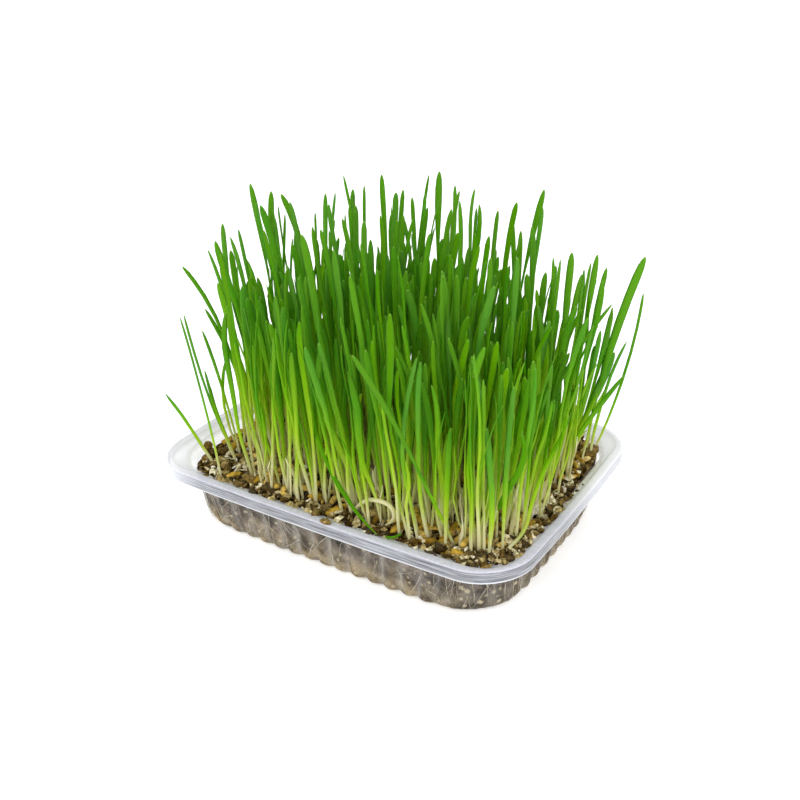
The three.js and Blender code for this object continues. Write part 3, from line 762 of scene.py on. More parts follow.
def scatterBodies(name, spots, bodies, finishes, draw, heading=None):
    # Copies of one body strewn on the soil: each is stretched, roughened point by point, turned and sunk in.
    kind = looseKinds[name]
    base, quads, tris = bodies[kind["body"]]
    count, size = len(spots), len(base)
    scale = kind["least"] + kind["spread"] * draw.random((count, 1)) ** kind["power"]
    least, spread = looseBits["stretch"]
    sizes = scale * np.array(kind["shape"]) * (least + spread * draw.random((count, 3)))
    lumps = 1 + kind["rough"] * eitherWay(draw, count, size, 1)
    heading = 2 * np.pi * draw.random(count) if heading is None else heading
    tilt = kind["tilt"] * eitherWay(draw, count)
    spins = spinMatrices(heading, tilt, 2 * np.pi * draw.random(count))
    low, high = kind["rise"]
    height = soilHeight(spots[:, 0], spots[:, 1])
    if spots.shape[1] > 2:
        height = np.maximum(height, spots[:, 2])
    height = height + low + (high - low) * draw.random(count)
    points = spreadCopies(base, lumps, sizes, spins, np.column_stack([spots[:, :2], height]))
    tones = np.repeat(draw.random(count), size)
    putCopies(name, points, (quads, tris), finishes[kind["finish"]], {"tone": tones},
              smooth=kind["body"] == "grain")


def soilSpots(draw, kind):
    # Random places on the soil, at least edge inside its rim.
    tries = eitherWay(draw, kind["count"] * looseBits["triesPerSpot"], 2)
    tries *= (trayShape["halfLength"], trayShape["halfWidth"])
    endRoom = soilShape["endRoom"] * (1 - smoothStep(*soilShape["roomReach"], tries[:, 0]))
    free = edgeRoom(tries[:, 0], tries[:, 1]) - endRoom > kind["edge"]
    return tries[free][:kind["count"]]


def bankSpots(draw, kind):
    # Random places on the bank of crumbs along the wall.
    steps = stepsRound * draw.random(kind["count"])
    low, high = kind["inset"]
    inset = low + (high - low) * draw.random(kind["count"])
    shoulder = np.interp(inset, *soilShape["shoulder"])
    spots = trayPoint(inset, inset + kind["corner"], shoulder, steps)
    return spots[bankShare(spots[:, 0], spots[:, 1]) > draw.random(len(spots))]


# A body is a round one by its level, or a grain or straw. Bits are at least edge inside the soil's rim, or
# lie between two insets from the lip. Each is least + spread * random ** power times its three half
# lengths, and rise is its height over the soil.
looseKinds = {
    "soilCrumbs": {"body": 1, "finish": "peatCrumb", "count": 3000, "edge": 0.2, "least": 0.6,
                   "spread": 1.9, "power": 2.0, "shape": (1.0, 0.66, 0.5), "rough": 0.5, "tilt": 1.0,
                   "rise": (-0.2, 1.1)},
    "soilLumps": {"body": 2, "finish": "peatCrumb", "count": 900, "edge": 0.8, "least": 1.4,
                  "spread": 2.1, "power": 1.5, "shape": (1.0, 0.58, 0.44), "rough": 0.44, "tilt": 0.9,
                  "rise": (0.1, 1.8)},
    "barkChips": {"body": 2, "finish": "barkChip", "count": 420, "edge": 1.5, "least": 1.6,
                  "spread": 2.2, "power": 1.3, "shape": (1.0, 0.5, 0.3), "rough": 0.34, "tilt": 0.7,
                  "rise": (0.5, 2.0)},
    "paleFlakes": {"body": 1, "finish": "paleFlake", "count": 460, "edge": 1.5, "least": 0.6,
                   "spread": 1.3, "power": 1.6, "shape": (1.0, 0.8, 0.3), "rough": 0.4, "tilt": 0.8,
                   "rise": (0.6, 1.9)},
    "strawBits": {"body": "straw", "finish": "strawBit", "count": 320, "edge": 2.5, "least": 1.8,
                  "spread": 2.8, "power": 1.4, "shape": (1.0, 0.11, 0.07), "rough": 0.1, "tilt": 0.6,
                  "rise": (0.8, 2.4)},
    "bankCrumbs": {"body": 1, "finish": "peatCrumb", "count": 2300, "inset": (4.7, 11.5), "corner": 13.5,
                   "least": 0.5, "spread": 2.6, "power": 2.4, "shape": (1.0, 0.66, 0.5), "rough": 0.48,
                   "tilt": 1.0, "rise": (-0.4, 0.5)},
    "wheatGrains": {"body": "grain", "finish": "wheatGrain", "count": 430, "edge": 2.2, "least": 3.4,
                    "spread": 0.8, "power": 1.0, "shape": (1.0, 0.45, 0.4), "rough": 0.06, "tilt": 0.5,
                    "rise": (1.0, 2.6)},
}
looseBits = {
    "seed": 91, "grainSeed": 733, "grainCount": 28, "grainLength": 7.4, "grainSpacing": 6.5, "grainEdge": 4.5,
    "holeRadius": 8.22, "triesPerSpot": 3,
    # each side's own stretch, and the tilt and tone of the placed bits
    "stretch": (0.8, 0.4), "placedTilt": 0.3, "placedTone": (0.2, 0.5),
    # places along a grain, its radius there, and its sides and crease, and the same of a straw
    "grainAlong": (-1.0, -0.93, -0.7, -0.3, 0.15, 0.6, 0.88, 1.0),
    "grainRadius": (0.0, 0.3, 0.75, 1.0, 0.98, 0.72, 0.34, 0.0), "grainSides": (8, 0.28),
    "strawAlong": (-1.0, -0.93, -0.3, 0.6, 1.0), "strawRadius": (0.0, 0.8, 1.0, 0.8, 0.0),
    "strawSides": (5, 0.0),
}


# body, finish and roughness of larger bits that lie on their own, and the place, three half lengths and
# heading of each
placedBits = {
    "darkLumps": (3, "peatCrumb", 0.1, [
        ((10.4, -68.7, 33.5), (2.7, 1.4, 1.1), 0.1), ((-79.6, -41.6, 31.0), (2.2, 2.0, 2.6), 0.4),
        ((-69.6, -41.5, 31.0), (3.4, 1.7, 1.6), 1.2), ((-74.0, -44.0, 30.6), (2.6, 1.7, 1.6), 2.2),
        ((-66.0, -48.5, 30.6), (3.0, 1.9, 1.5), 0.5), ((-10.1, -37.7, 31.0), (4.0, 3.2, 2.4), 0.9),
        ((-46.4, -48.6, 31.0), (3.0, 2.2, 1.6), 2.5), ((76.0, -56.2, 31.0), (3.2, 2.6, 2.0), 0.2),
        ((60.8, -56.7, 31.0), (2.6, 2.2, 1.7), 0.0), ((70.5, -56.5, 31.2), (2.4, 2.0, 1.6), 1.0),
    ]),
    "barkLumps": (3, "barkChip", 0.12, [
        ((81.5, 41.4, 32.6), (4.6, 3.0, 2.4), 1.2), ((78.0, -33.0, 31.6), (2.8, 2.2, 1.8), 0.7),
        ((-61.0, -50.5, 31.0), (3.4, 1.8, 1.4), 2.0), ((80.5, 6.0, 31.6), (3.0, 2.2, 1.6), 0.3),
        ((2.0, -58.0, 31.0), (3.0, 2.0, 1.5), 2.8), ((23.0, -50.5, 31.6), (4.0, 2.8, 2.0), 0.4),
    ]),
    "paleChips": (2, "paleFlake", 0.25, [
        ((-64.1, -55.2, 30.8), (1.3, 0.9, 0.5), 0.3), ((-64.7, -44.1, 32.0), (1.1, 0.8, 0.5), 1.0),
        ((82.6, 22.9, 31.6), (1.9, 1.3, 0.7), 0.6), ((80.4, -13.7, 32.2), (4.6, 2.8, 0.7), 1.3),
        ((70.8, -57.6, 31.4), (4.2, 2.0, 0.5), 0.1), ((68.9, -55.0, 32.4), (2.0, 0.8, 0.5), 1.9),
        ((42.8, -40.6, 32.4), (2.4, 1.4, 0.5), 0.9), ((-25.2, -36.4, 32.6), (1.6, 1.2, 0.7), 0.2),
        ((81.8, 16.0, 31.8), (2.6, 1.5, 0.5), 1.1), ((79.6, -20.0, 32.0), (2.8, 1.6, 0.6), 1.6),
    ]),
    "goldenGrains": ("grain", "wheatGrain", 0.05, [
        ((-50.3, -56.6, 31.4), (3.9, 1.7, 1.5), 0.9), ((-27.3, -54.5, 31.8), (3.8, 1.8, 1.5), 2.2),
        ((-20.6, -58.4, 31.4), (4.0, 1.7, 1.5), 0.1), ((6.7, -58.2, 31.6), (3.9, 1.6, 1.4), 0.7),
        ((66.5, -38.7, 31.8), (4.0, 1.8, 1.5), 2.9), ((79.3, -26.2, 33.4), (4.1, 1.8, 1.6), 1.3),
        ((65.5, -58.6, 31.6), (4.3, 1.8, 1.6), 0.1), ((67.0, -51.6, 33.4), (4.0, 1.5, 1.4), 1.5),
        ((-33.0, -52.5, 31.8), (3.8, 1.7, 1.5), 1.2), ((-15.0, -50.0, 31.8), (3.9, 1.7, 1.5), 2.6),
        ((50.0, -49.0, 31.8), (3.8, 1.7, 1.5), 0.4), ((57.0, -44.0, 31.8), (3.9, 1.7, 1.5), 1.8),
        ((73.5, -46.0, 32.0), (3.9, 1.8, 1.5), 2.4), ((76.5, -8.0, 31.8), (3.9, 1.7, 1.5), 1.4),
        ((-40.0, -47.0, 31.8), (3.8, 1.7, 1.5), 0.2), ((74.0, 12.0, 31.8), (3.9, 1.7, 1.5), 2.0),
    ]),
}


def placeBits(name, bodies, finishes, draw):
    # One mesh of the bits of a name, each a roughened copy of the body.
    bodyName, finish, rough, bits = placedBits[name]
    base, quads, tris = bodies[bodyName]
    places, sizes, heading = (np.array(column) for column in zip(*bits))
    count, size = len(places), len(base)
    tilt = looseBits["placedTilt"] * eitherWay(draw, count)
    lumps = 1 + rough * eitherWay(draw, count, size, 1)
    points = spreadCopies(base, lumps, sizes, spinMatrices(heading, tilt, tilt), places)
    tones = np.repeat(drawBetween(draw, count, looseBits["placedTone"]), size)
    isGrain = bodyName == "grain"
    putCopies(name, points, (quads, tris), finishes[finish], {"tone": tones}, smooth=isGrain)


def standingGrains(centres):
    # The grains that the packed soil carries: free places clear of the tufts, the wall and each other.
    draw = randomStream(looseBits["grainSeed"])
    clearance = looseBits["holeRadius"] + looseBits["grainLength"] / 2
    places = []
    while len(places) < looseBits["grainCount"]:
        x = (2 * next(draw) - 1) * trayShape["halfLength"]
        y = (2 * next(draw) - 1) * trayShape["halfWidth"]
        turn = math.pi * next(draw)
        free = np.hypot(centres[:, 0] - x, centres[:, 1] - y).min() > clearance
        alone = all(math.hypot(place[0] - x, place[1] - y) > looseBits["grainSpacing"] for place in places)
        if free and alone and edgeRoom(x, y) > looseBits["grainEdge"]:
            places.append((x, y, turn))
    return np.array(places)


def scatterSoil(tuftCentres):
    draw = np.random.default_rng(looseBits["seed"])
    finishes = {name: looseMaterial(name) for name in looseFinishes}
    bodies = {level: roundBody(level) for level in (1, 2, 3)}
    for bit in ("grain", "straw"):
        along, radius = np.array(looseBits[f"{bit}Along"]), np.array(looseBits[f"{bit}Radius"])
        bodies[bit] = latheBody(along, radius, *looseBits[f"{bit}Sides"])
    for name in ("soilCrumbs", "soilLumps", "barkChips", "paleFlakes", "strawBits"):
        scatterBodies(name, soilSpots(draw, looseKinds[name]), bodies, finishes, draw)
    scatterBodies("bankCrumbs", bankSpots(draw, looseKinds["bankCrumbs"]), bodies, finishes, draw)
    for name in placedBits:
        placeBits(name, bodies, finishes, draw)
    # the grains that the packed soil carries, and loose ones between them
    packed = standingGrains(tuftCentres)
    packed = packed[~beyondBareLine(packed)]
    loose = soilSpots(draw, looseKinds["wheatGrains"])
    loose = loose[~beyondBareLine(loose)]
    heading = np.concatenate([packed[:, 2], 2 * np.pi * draw.random(len(loose))])
    scatterBodies("wheatGrains", np.concatenate([packed[:, :2], loose]), bodies, finishes, draw, heading)
    print("loose bits scattered")


stand = {
    "seed": 20417, "columns": 8, "rows": 6, "across": 3, "centre": (5.5, -3.0), "pitch": (19.3, 19.0),
    "cornerPull": 0.07, "rootPull": 0.68, "jitter": 0.7, "plugTop": 29.2, "bareTuft": 0,
    "sheath": 1.5, "widthLeast": 2.5, "widthSpread": 1.2, "stemLeast": 1.15, "stemSpread": 0.7,
    "usual": 116.0, "spread": 15.0, "tall": 24.0, "short": 78.0, "most": 151.5,
    "tallShare": 0.17, "tallEnd": 48.0, "shortShare": 0.14,
    "leftDrop": 6.0, "rightDrop": 10.0, "frontDrop": 8.0,
    "fanX": (6.0, 12.0), "fanY": (8.0, 7.0), "fanHeight": 100.0, "fanPower": 1.5,
    "sway": 4.5, "swayLength": 95.0, "swaySlant": 0.35, "swayStart": (0.6, 2.1),
    "ownLean": 8.0, "kneeFollow": 0.3, "twist": 0.9,
    "gap": 0.35, "levelStep": 7.0, "passes": 14, "settle": 0.62, "drawsPerBlade": 10,
    "gather": 0.8, "footStray": 2.2, "kneeStray": 2.4,
    "cutShares": (0.0, 0.46, 0.74, 0.91, 1.0), "cutWidths": (0.0, 0.15, 0.72, 1.0, 0.0),
}

# tuft, place in it, knee, tip and its height, width and turn of the blades that stand apart, and the foot,
# knee, width, stem and pale length of the finer blade
strayBlades = [
    (0, 3, (-74.5, -52.0), (-86.3, -58.0, 64.5), 2.6, 0.6, ((-69.5, -50.0), (-76.3, -54.2), 1.7, 0.9, 5)),
    (0, 1, (-59.0, -60.5), (-62.8, -65.0, 109.0), 2.0, 0.3, ((-55.5, -59.5), (-64.0, -56.5), 1.3, 1.2, 9)),
    (0, 7, (-64.0, -46.5), (-70.0, -48.0, 76.0), 2.4, 0.9, ((-60.0, -44.0), (-65.5, -46.5), 1.5, 1.1, 8)),
    (8, 0, (-75.5, -41.0), (-81.5, -44.5, 99.5), 2.0, 0.4, ((-69.5, -36.5), (-70.5, -47.0), 1.4, 1.1, 7)),
    (8, 3, (-76.5, -27.5), (-88.0, -34.5, 118.0), 3.4, 0.7, ((-66.0, -31.0), (-78.0, -21.5), 2.2, 1.2, 6)),
    (47, 8, (84.5, 57.5), (91.5, 63.5, 122.0), 4.4, 0.5, ((79.0, 42.0), (84.7, 42.5), 4.0, 1.4, 7)),
    (47, 5, (85.5, 50.5), (94.0, 58.0, 107.5), 2.0, 0.2, ((81.0, 44.0), (90.8, 51.0), 1.4, 1.1, 8)),
    (39, 5, (85.0, 37.0), (93.5, 46.0, 73.0), 2.6, 0.6, ((76.0, 30.0), (82.9, 23.5), 2.3, 1.3, 7)),
    (7, 0, (48.5, -65.5), (31.5, -73.5, 115.0), 3.0, 0.4, ((62.0, -52.0), (49.5, -63.0), 2.8, 1.4, 6)),
]


def tuftGrid():
    # Places of the tufts on the square lattice, row by row from the front left corner.
    tuft = np.arange(stand["columns"] * stand["rows"])
    gridX = (tuft % stand["columns"] - (stand["columns"] - 1) / 2) * stand["pitch"][0]
    gridY = (tuft // stand["columns"] - (stand["rows"] - 1) / 2) * stand["pitch"][1]
    return gridX, gridY


def latticePoint(x, y):
    # The square lattice, drawn in towards the tray's round corners.
    reachX = stand["pitch"][0] * (stand["columns"] - 1) / 2
    reachY = stand["pitch"][1] * (stand["rows"] - 1) / 2
    pulledX = x * (1 - stand["cornerPull"] * (y / reachY) ** 2)
    pulledY = y * (1 - stand["cornerPull"] * (x / reachX) ** 2)
    return np.stack([stand["centre"][0] + pulledX, stand["centre"][1] + pulledY], -1)


def standLean(spot, z):
    # How far the whole stand leans at a height: it fans out to the sides and sways in slow waves.
    x, y = spot[..., 0], spot[..., 1]
    swell = np.maximum(0, (z - stand["plugTop"]) / stand["fanHeight"]) ** stand["fanPower"]
    wave = 2 * np.pi / stand["swayLength"]
    slant = stand["swaySlant"]
    swayX = stand["sway"] * np.sin(wave * (y + slant * x) + stand["swayStart"][0])
    swayY = stand["sway"] * np.sin(wave * (x - slant * y) + stand["swayStart"][1])
    fanX = np.where(x > 0, stand["fanX"][1], stand["fanX"][0]) * x / trayShape["halfLength"]
    fanY = np.where(y > 0, stand["fanY"][1], stand["fanY"][0]) * y / trayShape["halfWidth"]
    return np.stack([swell * (fanX + swayX), swell * (fanY + swayY)], -1)


def tipHeights(spot, kind, size):
    # The usual height, less towards the ends and the front, with some blades taller and some shorter.
    endDrop = np.where(spot[:, 0] > 0, stand["rightDrop"], stand["leftDrop"])
    dropEnd = endDrop * np.abs(spot[:, 0]) / trayShape["halfLength"]
    dropFront = stand["frontDrop"] * np.maximum(0, -spot[:, 1] / trayShape["halfWidth"])
    isTall = (kind < stand["tallShare"]) & (spot[:, 0] < stand["tallEnd"])
    usual = stand["usual"] - dropEnd - dropFront + np.where(isTall, stand["tall"], 0)
    height = stand["spread"] * size + np.where(kind > 1 - stand["shortShare"], stand["short"], usual)
    return np.minimum(stand["most"], height)


def poseBlades(blades):
    # Knee and tip of each blade from its place, the stand's lean and its own lean.
    spot, lean, height = blades["spot"], blades["lean"], blades["height"]
    free = blades["freedom"][:, None]
    knee = spot + standLean(spot, (stand["plugTop"] + height) / 2) + stand["kneeFollow"] * free * lean
    tip = spot + standLean(spot, height) + free * lean
    fixed = blades["fixed"][:, None]
    blades["knee"] = np.where(fixed, blades["fixedKnee"], knee)
    blades["tip"] = np.where(fixed, blades["fixedTip"], tip)


def levelPlace(blades, shares):
    # The parabola through root, knee and tip, at shares of the height from the soil.
    share = shares[..., None]
    return (
        (1 - share) * (1 - 2 * share) * blades["root"][:, None]
        + 4 * share * (1 - share) * blades["knee"][:, None]
        + share * (2 * share - 1) * blades["tip"][:, None]
    )


def centreLine(blades, shares):
    z = stand["plugTop"] + shares * (blades["height"][:, None] - stand["plugTop"])
    return np.concatenate([levelPlace(blades, shares), z[..., None]], -1)


def touchingPairs(blades):
    # Level cuts through every blade, compared pair by pair where both reach that level: two blades touch
    # where the distance of their centres is less than their half widths and a gap.
    levels = np.arange(stand["plugTop"] + stand["levelStep"], blades["height"].max(), stand["levelStep"])
    share = (levels - stand["plugTop"]) / (blades["height"][:, None] - stand["plugTop"])
    reached = levels < blades["height"][:, None]
    flat = levelPlace(blades, share)
    full = np.interp(share, (0, stand["cutShares"][-2], 1), (1, 1, 0))
    part = np.interp(share, stand["cutShares"], stand["cutWidths"])
    half = (full * stand["sheath"] + part * (blades["width"][:, None] - stand["sheath"])) / 2
    touching = np.zeros((len(half), len(half)), bool)
    for level in range(len(levels)):
        room = np.hypot(*(flat[:, None, level] - flat[None, :, level]).transpose(2, 0, 1))
        room = room - half[:, level, None] - half[None, :, level]
        touching |= (room < stand["gap"]) & reached[:, level, None] & reached[None, :, level]
    return np.argwhere(np.triu(touching, 1))


def sowStand():
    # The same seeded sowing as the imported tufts: nine blades each, straightened until they clear each other.
    gridX, gridY = tuftGrid()
    tufts, places, across = len(gridX), stand["across"] ** 2, stand["across"]
    stream, perBlade = randomStream(stand["seed"]), stand["drawsPerBlade"]
    draws = np.array([next(stream) for _ in range(tufts * places * perBlade)]).reshape(-1, perBlade).T
    tuft = np.repeat(np.arange(tufts), places)
    place = np.tile(np.arange(places), tufts)
    gridX, gridY = gridX[tuft], gridY[tuft]
    offsetX = (place % across - 1) * stand["pitch"][0] / across
    offsetY = (place // across - 1) * stand["pitch"][1] / across
    centre = latticePoint(gridX, gridY)
    spot = latticePoint(gridX + offsetX, gridY + offsetY) + stand["jitter"] * (2 * draws[:2].T - 1)
    heading = 2 * np.pi * draws[5]
    reach = stand["ownLean"] * draws[6]
    blades = {
        "tuft": tuft, "place": place, "centre": centre, "spot": spot,
        "root": centre + stand["rootPull"] * np.column_stack([offsetX, offsetY]),
        "height": tipHeights(spot, draws[2], draws[3] + draws[4] - 1),
        "lean": np.column_stack([reach * np.cos(heading), reach * np.sin(heading)]),
        "turn": np.pi * draws[7], "twist": stand["twist"] * (2 * draws[8] - 1),
        "width": stand["widthLeast"] + stand["widthSpread"] * draws[9],
        "freedom": np.ones(len(tuft)), "fixed": np.zeros(len(tuft), bool),
        "fixedKnee": np.zeros((len(tuft), 2)), "fixedTip": np.zeros((len(tuft), 2)),
    }
    for strayTuft, strayPlace, knee, tip, width, turn, _ in strayBlades:
        i = strayTuft * places + strayPlace
        blades["fixed"][i] = True
        blades["fixedKnee"][i], blades["fixedTip"][i], blades["height"][i] = knee, tip[:2], tip[2]
        blades["width"][i], blades["turn"][i], blades["twist"][i] = width, turn, 0.0
    kept = blades["fixed"] | (tuft != stand["bareTuft"])
    blades = {key: value[kept] for key, value in blades.items()}
    poseBlades(blades)
    for _ in range(stand["passes"]):
        crowded = np.unique(touchingPairs(blades))
        blades["freedom"][crowded] *= stand["settle"]
        poseBlades(blades)
    leftOut = [j if blades["fixed"][i] else i for i, j in touchingPairs(blades)]
    kept = ~np.isin(np.arange(len(blades["height"])), leftOut)
    return {key: value[kept] for key, value in blades.items()}


def refineStand(blades):
    # The feet of a tuft gather towards its middle, each stem gets its own thickness, and the stray blades
    # take their finer form.
    draw = np.random.default_rng(stand["seed"] + 1)
    count = len(blades["height"])
    gathered = blades["centre"] + stand["gather"] * (blades["root"] - blades["centre"])
    blades["root"] = gathered + stand["footStray"] * eitherWay(draw, count, 2)
    blades["knee"] = blades["knee"] + stand["kneeStray"] * eitherWay(draw, count, 2)
    blades["sheath"] = stand["stemLeast"] + stand["stemSpread"] * draw.random(count)
    blades["youth"] = np.full(count, bladeForm["paleLeast"])
    for strayTuft, strayPlace, *_, finer in strayBlades:
        here = (blades["tuft"] == strayTuft) & (blades["place"] == strayPlace)
        for key, value in zip(("root", "knee", "width", "sheath", "youth"), finer):
            blades[key][here] = value
    return blades


bladeForm = {
    # distances below the tip where the blade has a row of points, and rows of the stem under them
    "fromTip": (0.4, 1.6, 4.0, 8.5, 16.0, 27.0, 41.0), "stemRows": 6, "reach": 0.78, "sides": 6, "sunk": 2.5,
    # a blunt tip, and how far below it the blade starts to narrow and how long it takes
    "tipLength": (5.0, 4.0), "tipPower": (1.9, 0.6), "spoonShare": 0.6, "spoon": (10.0, 9.0),
    "ribbon": (18.0, 22.0), "narrowing": (18.0, 14.0), "stemThick": 0.42, "bladeThick": 0.17, "fold": 0.34,
    "wander": (0.2, 1.2), "waves": (0.6, 0.9), "nod": 2.4, "nodLength": 24.0, "steadiness": 0.8,
    # a stem's thickness left at the tip, and how far the closing points stand off, in half widths
    "tipThick": 0.35, "footPoint": 0.3, "tipPoint": 0.7,
    "paleLeast": 9.0, "paleSpread": 14.0, "ripening": 6.2, "slimness": 0.94,
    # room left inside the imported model's box, and the lowest share of its height where a blade bends
    "boxRoom": 0.06, "leastShare": 0.01,
}


bladeFinish = {
    "rough": 0.52, "shine": 0.08, "wobble": (120.0, 2.0), "wobbleShare": 0.1, "unripe": 0.05,
    # colour by how ripe the blade is at a height
    "ripening": (
        (0.0, 244, 240, 216), (0.09, 232, 232, 194), (0.17, 206, 218, 122), (0.28, 180, 209, 56),
        (0.48, 142, 194, 14), (0.75, 97, 168, 1), (1.0, 107, 166, 14),
    ),
    # each blade's own tint, and how much of it shows
    "variety": ((0.0, (0.92, 0.95, 0.4)), (0.35, (0.98, 0.98, 0.6)), (0.7, (1.0, 1.0, 0.9)),
                (1.0, (1.02, 1.03, 1.2))),
    "varied": ((0.15, 0.1), (0.4, 0.8)),
    # grey, partly the leaf's own colour and partly painted sheen, on the back, on some blades and only on
    # their green part
    "backGreySheen": 0.16, "bladeGreySheen": ((0.66, 0.0), (0.9, 0.28)), "greySheenFrom": ((0.3, 0.0), (0.6, 1.0)),
    "greySheenColour": (108, 170, 82),
    "veins": 44.0, "veinShare": 0.7, "veinShade": ((0.0, 0.84), (0.5, 1.08)), "veinBump": (0.25, 0.08),
    "rimShare": ((0.7, 0.0), (0.95, 0.26)), "rim": (150, 204, 110),
    "tipShare": ((0.93, 0.0), (1.0, 0.4)), "tip": (168, 198, 104),
    # light that passes through: its share, and its tint on the pale foot and on the green blade
    "glow": 0.5, "glowFrom": ((0.08, 0.0), (0.3, 1.0)), "paleGlow": (1.12, 1.08, 0.76),
    "greenGlow": (1.45, 1.4, 0.42),
}


def bladeMaterial(name):
    # White foot, yellow-green stem and green blade by how ripe each height is, with veins along the blade,
    # paler edges and a greyer back. Some blades are greyer all over, and some light passes through. The grey
    # is partly the leaf's own colour and partly painted sheen.
    finish = bladeFinish
    material, tree, shader = startMaterial(name, {
        "Roughness": finish["rough"], "Specular IOR Level": finish["shine"],
    })
    tone, surface = attributeValue(tree, "tone"), uvPlace(tree)
    across, along = partOf(tree, surface, "X"), partOf(tree, surface, "Y")
    wobble = noiseFrom(tree, objectPlace(tree), *finish["wobble"])
    ripe = calculate(tree, "SUBTRACT", attributeValue(tree, "ripe"), finish["unripe"])
    level = calculate(tree, "MULTIPLY_ADD", wobble, finish["wobbleShare"], ripe)
    colour = paintRamp(tree, level, finish["ripening"])
    variety = rampFrom(tree, tone, finish["variety"])
    colour = blendColours(tree, "MULTIPLY", greyRamp(tree, level, finish["varied"]), colour, variety)
    # painted sheen, with the leaf's own greyer colour: the back and some blades turn grey-green
    greyAndSheen = calculate(tree, "MULTIPLY", attributeValue(tree, "back"), finish["backGreySheen"])
    greyAndSheen = calculate(tree, "ADD", greyAndSheen, greyRamp(tree, tone, finish["bladeGreySheen"]))
    greyAndSheen = calculate(tree, "MULTIPLY", greyAndSheen, greyRamp(tree, level, finish["greySheenFrom"]))
    colour = blendColours(tree, "MIX", greyAndSheen, colour, onScreen(*finish["greySheenColour"]))
    veins = calculate(tree, "SINE", calculate(tree, "MULTIPLY", across, finish["veins"]))
    veinShade = greyRamp(tree, calculate(tree, "MULTIPLY_ADD", veins, 0.5, 0.5), finish["veinShade"])
    colour = blendColours(tree, "MULTIPLY", finish["veinShare"], colour, veinShade)
    fromMiddle = calculate(tree, "ABSOLUTE", calculate(tree, "MULTIPLY_ADD", across, 2.0, -1.0))
    rim = calculate(tree, "MULTIPLY", greyRamp(tree, fromMiddle, finish["rimShare"]), level)
    colour = blendColours(tree, "MIX", rim, colour, onScreen(*finish["rim"]))
    palest = greyRamp(tree, along, finish["tipShare"])
    colour = blendColours(tree, "MIX", palest, colour, onScreen(*finish["tip"]))
    feed(tree, shader.inputs["Base Color"], colour)
    addBump(tree, shader, veins, *finish["veinBump"])
    glow = tree.nodes.new("ShaderNodeBsdfTranslucent")
    green = greyRamp(tree, level, finish["glowFrom"])
    tint = blendColours(tree, "MIX", green, finish["paleGlow"], finish["greenGlow"])
    feed(tree, glow.inputs["Color"], blendColours(tree, "MULTIPLY", 1.0, colour, tint))
    join = tree.nodes.new("ShaderNodeMixShader")
    join.inputs[0].default_value = finish["glow"]
    tree.links.new(shader.outputs[0], join.inputs[1])
    tree.links.new(glow.outputs[0], join.inputs[2])
    tree.links.new(join.outputs[0], tree.nodes["Material Output"].inputs["Surface"])
    return material


def sweepBody(centre, across, half, thick, fold):
    # Six points round each place of each centre line: half wide across, thick through, with the edges
    # lifted by fold to make a shallow V. The two ends close on a point. Gives the points body by body, what
    # the bodies share, and which of a body's points are on its back.
    sides = bladeForm["sides"]
    tangent = np.gradient(centre, axis=1)
    tangent /= np.linalg.norm(tangent, axis=-1, keepdims=True)
    across = across - tangent * (across * tangent).sum(-1, keepdims=True)
    across /= np.linalg.norm(across, axis=-1, keepdims=True)
    facing = np.cross(tangent, across)
    angle = 2 * np.pi * np.arange(sides) / sides
    wide = np.cos(angle)[None, None, :, None]
    deep = np.sin(angle)[None, None, :, None]
    half, thick, fold = half[..., None, None], thick[..., None, None], fold[..., None, None]
    lift = fold * (np.abs(wide) - 0.5)
    ring = centre[:, :, None] + across[:, :, None] * half * wide + facing[:, :, None] * (thick * deep + lift)
    count, rows = centre.shape[:2]
    foot = centre[:, 0] - tangent[:, 0] * half[:, 0, :, 0] * bladeForm["footPoint"]
    tip = centre[:, -1] + tangent[:, -1] * half[:, -1, :, 0] * bladeForm["tipPoint"]
    points = np.concatenate([ring.reshape(count, -1, 3), foot[:, None], tip[:, None]], 1)
    u = np.tile((1 + np.cos(angle)) / 2, rows)
    v = np.repeat(np.linspace(0, 1, rows), sides)
    uv = np.column_stack([np.append(u, [0.5, 0.5]), np.append(v, [0.0, 1.0])])
    back = np.append(np.tile(np.sin(angle) < -0.01, rows), [False, False])
    return points, (wrappedQuads(rows, sides), endTris(rows, sides), uv), back.astype(float)


def bladeRows(length):
    # Each blade's rows as distances below its tip, from the foot up: even along the stem, then closer.
    fromTip = np.array(bladeForm["fromTip"])[None, ::-1]
    fromTip = fromTip * np.minimum(1, bladeForm["reach"] * length / fromTip[:, :1])
    part = np.linspace(0, 1, bladeForm["stemRows"] + 1)[None, :-1]
    foot = length + bladeForm["sunk"]
    return np.concatenate([foot + part * (fromTip[:, :1] - foot), fromTip], 1)


def widthShares(below, draw):
    # The half width rises over a blunt tip, stays full, and falls to the stem by a smooth step.
    count = len(below)
    tipLength = drawBetween(draw, count, bladeForm["tipLength"])
    steep, blunt = bladeForm["tipPower"]
    rise = np.clip(below / tipLength, 0, 1)
    taper = (1 - (1 - rise) ** steep) ** blunt
    isSpoon = draw.random((count, 1)) < bladeForm["spoonShare"]
    spoon = drawBetween(draw, count, bladeForm["spoon"])
    start = np.where(isSpoon, spoon, drawBetween(draw, count, bladeForm["ribbon"]))
    end = start + drawBetween(draw, count, bladeForm["narrowing"])
    return taper, 1 - smoothStep(start, end, below)


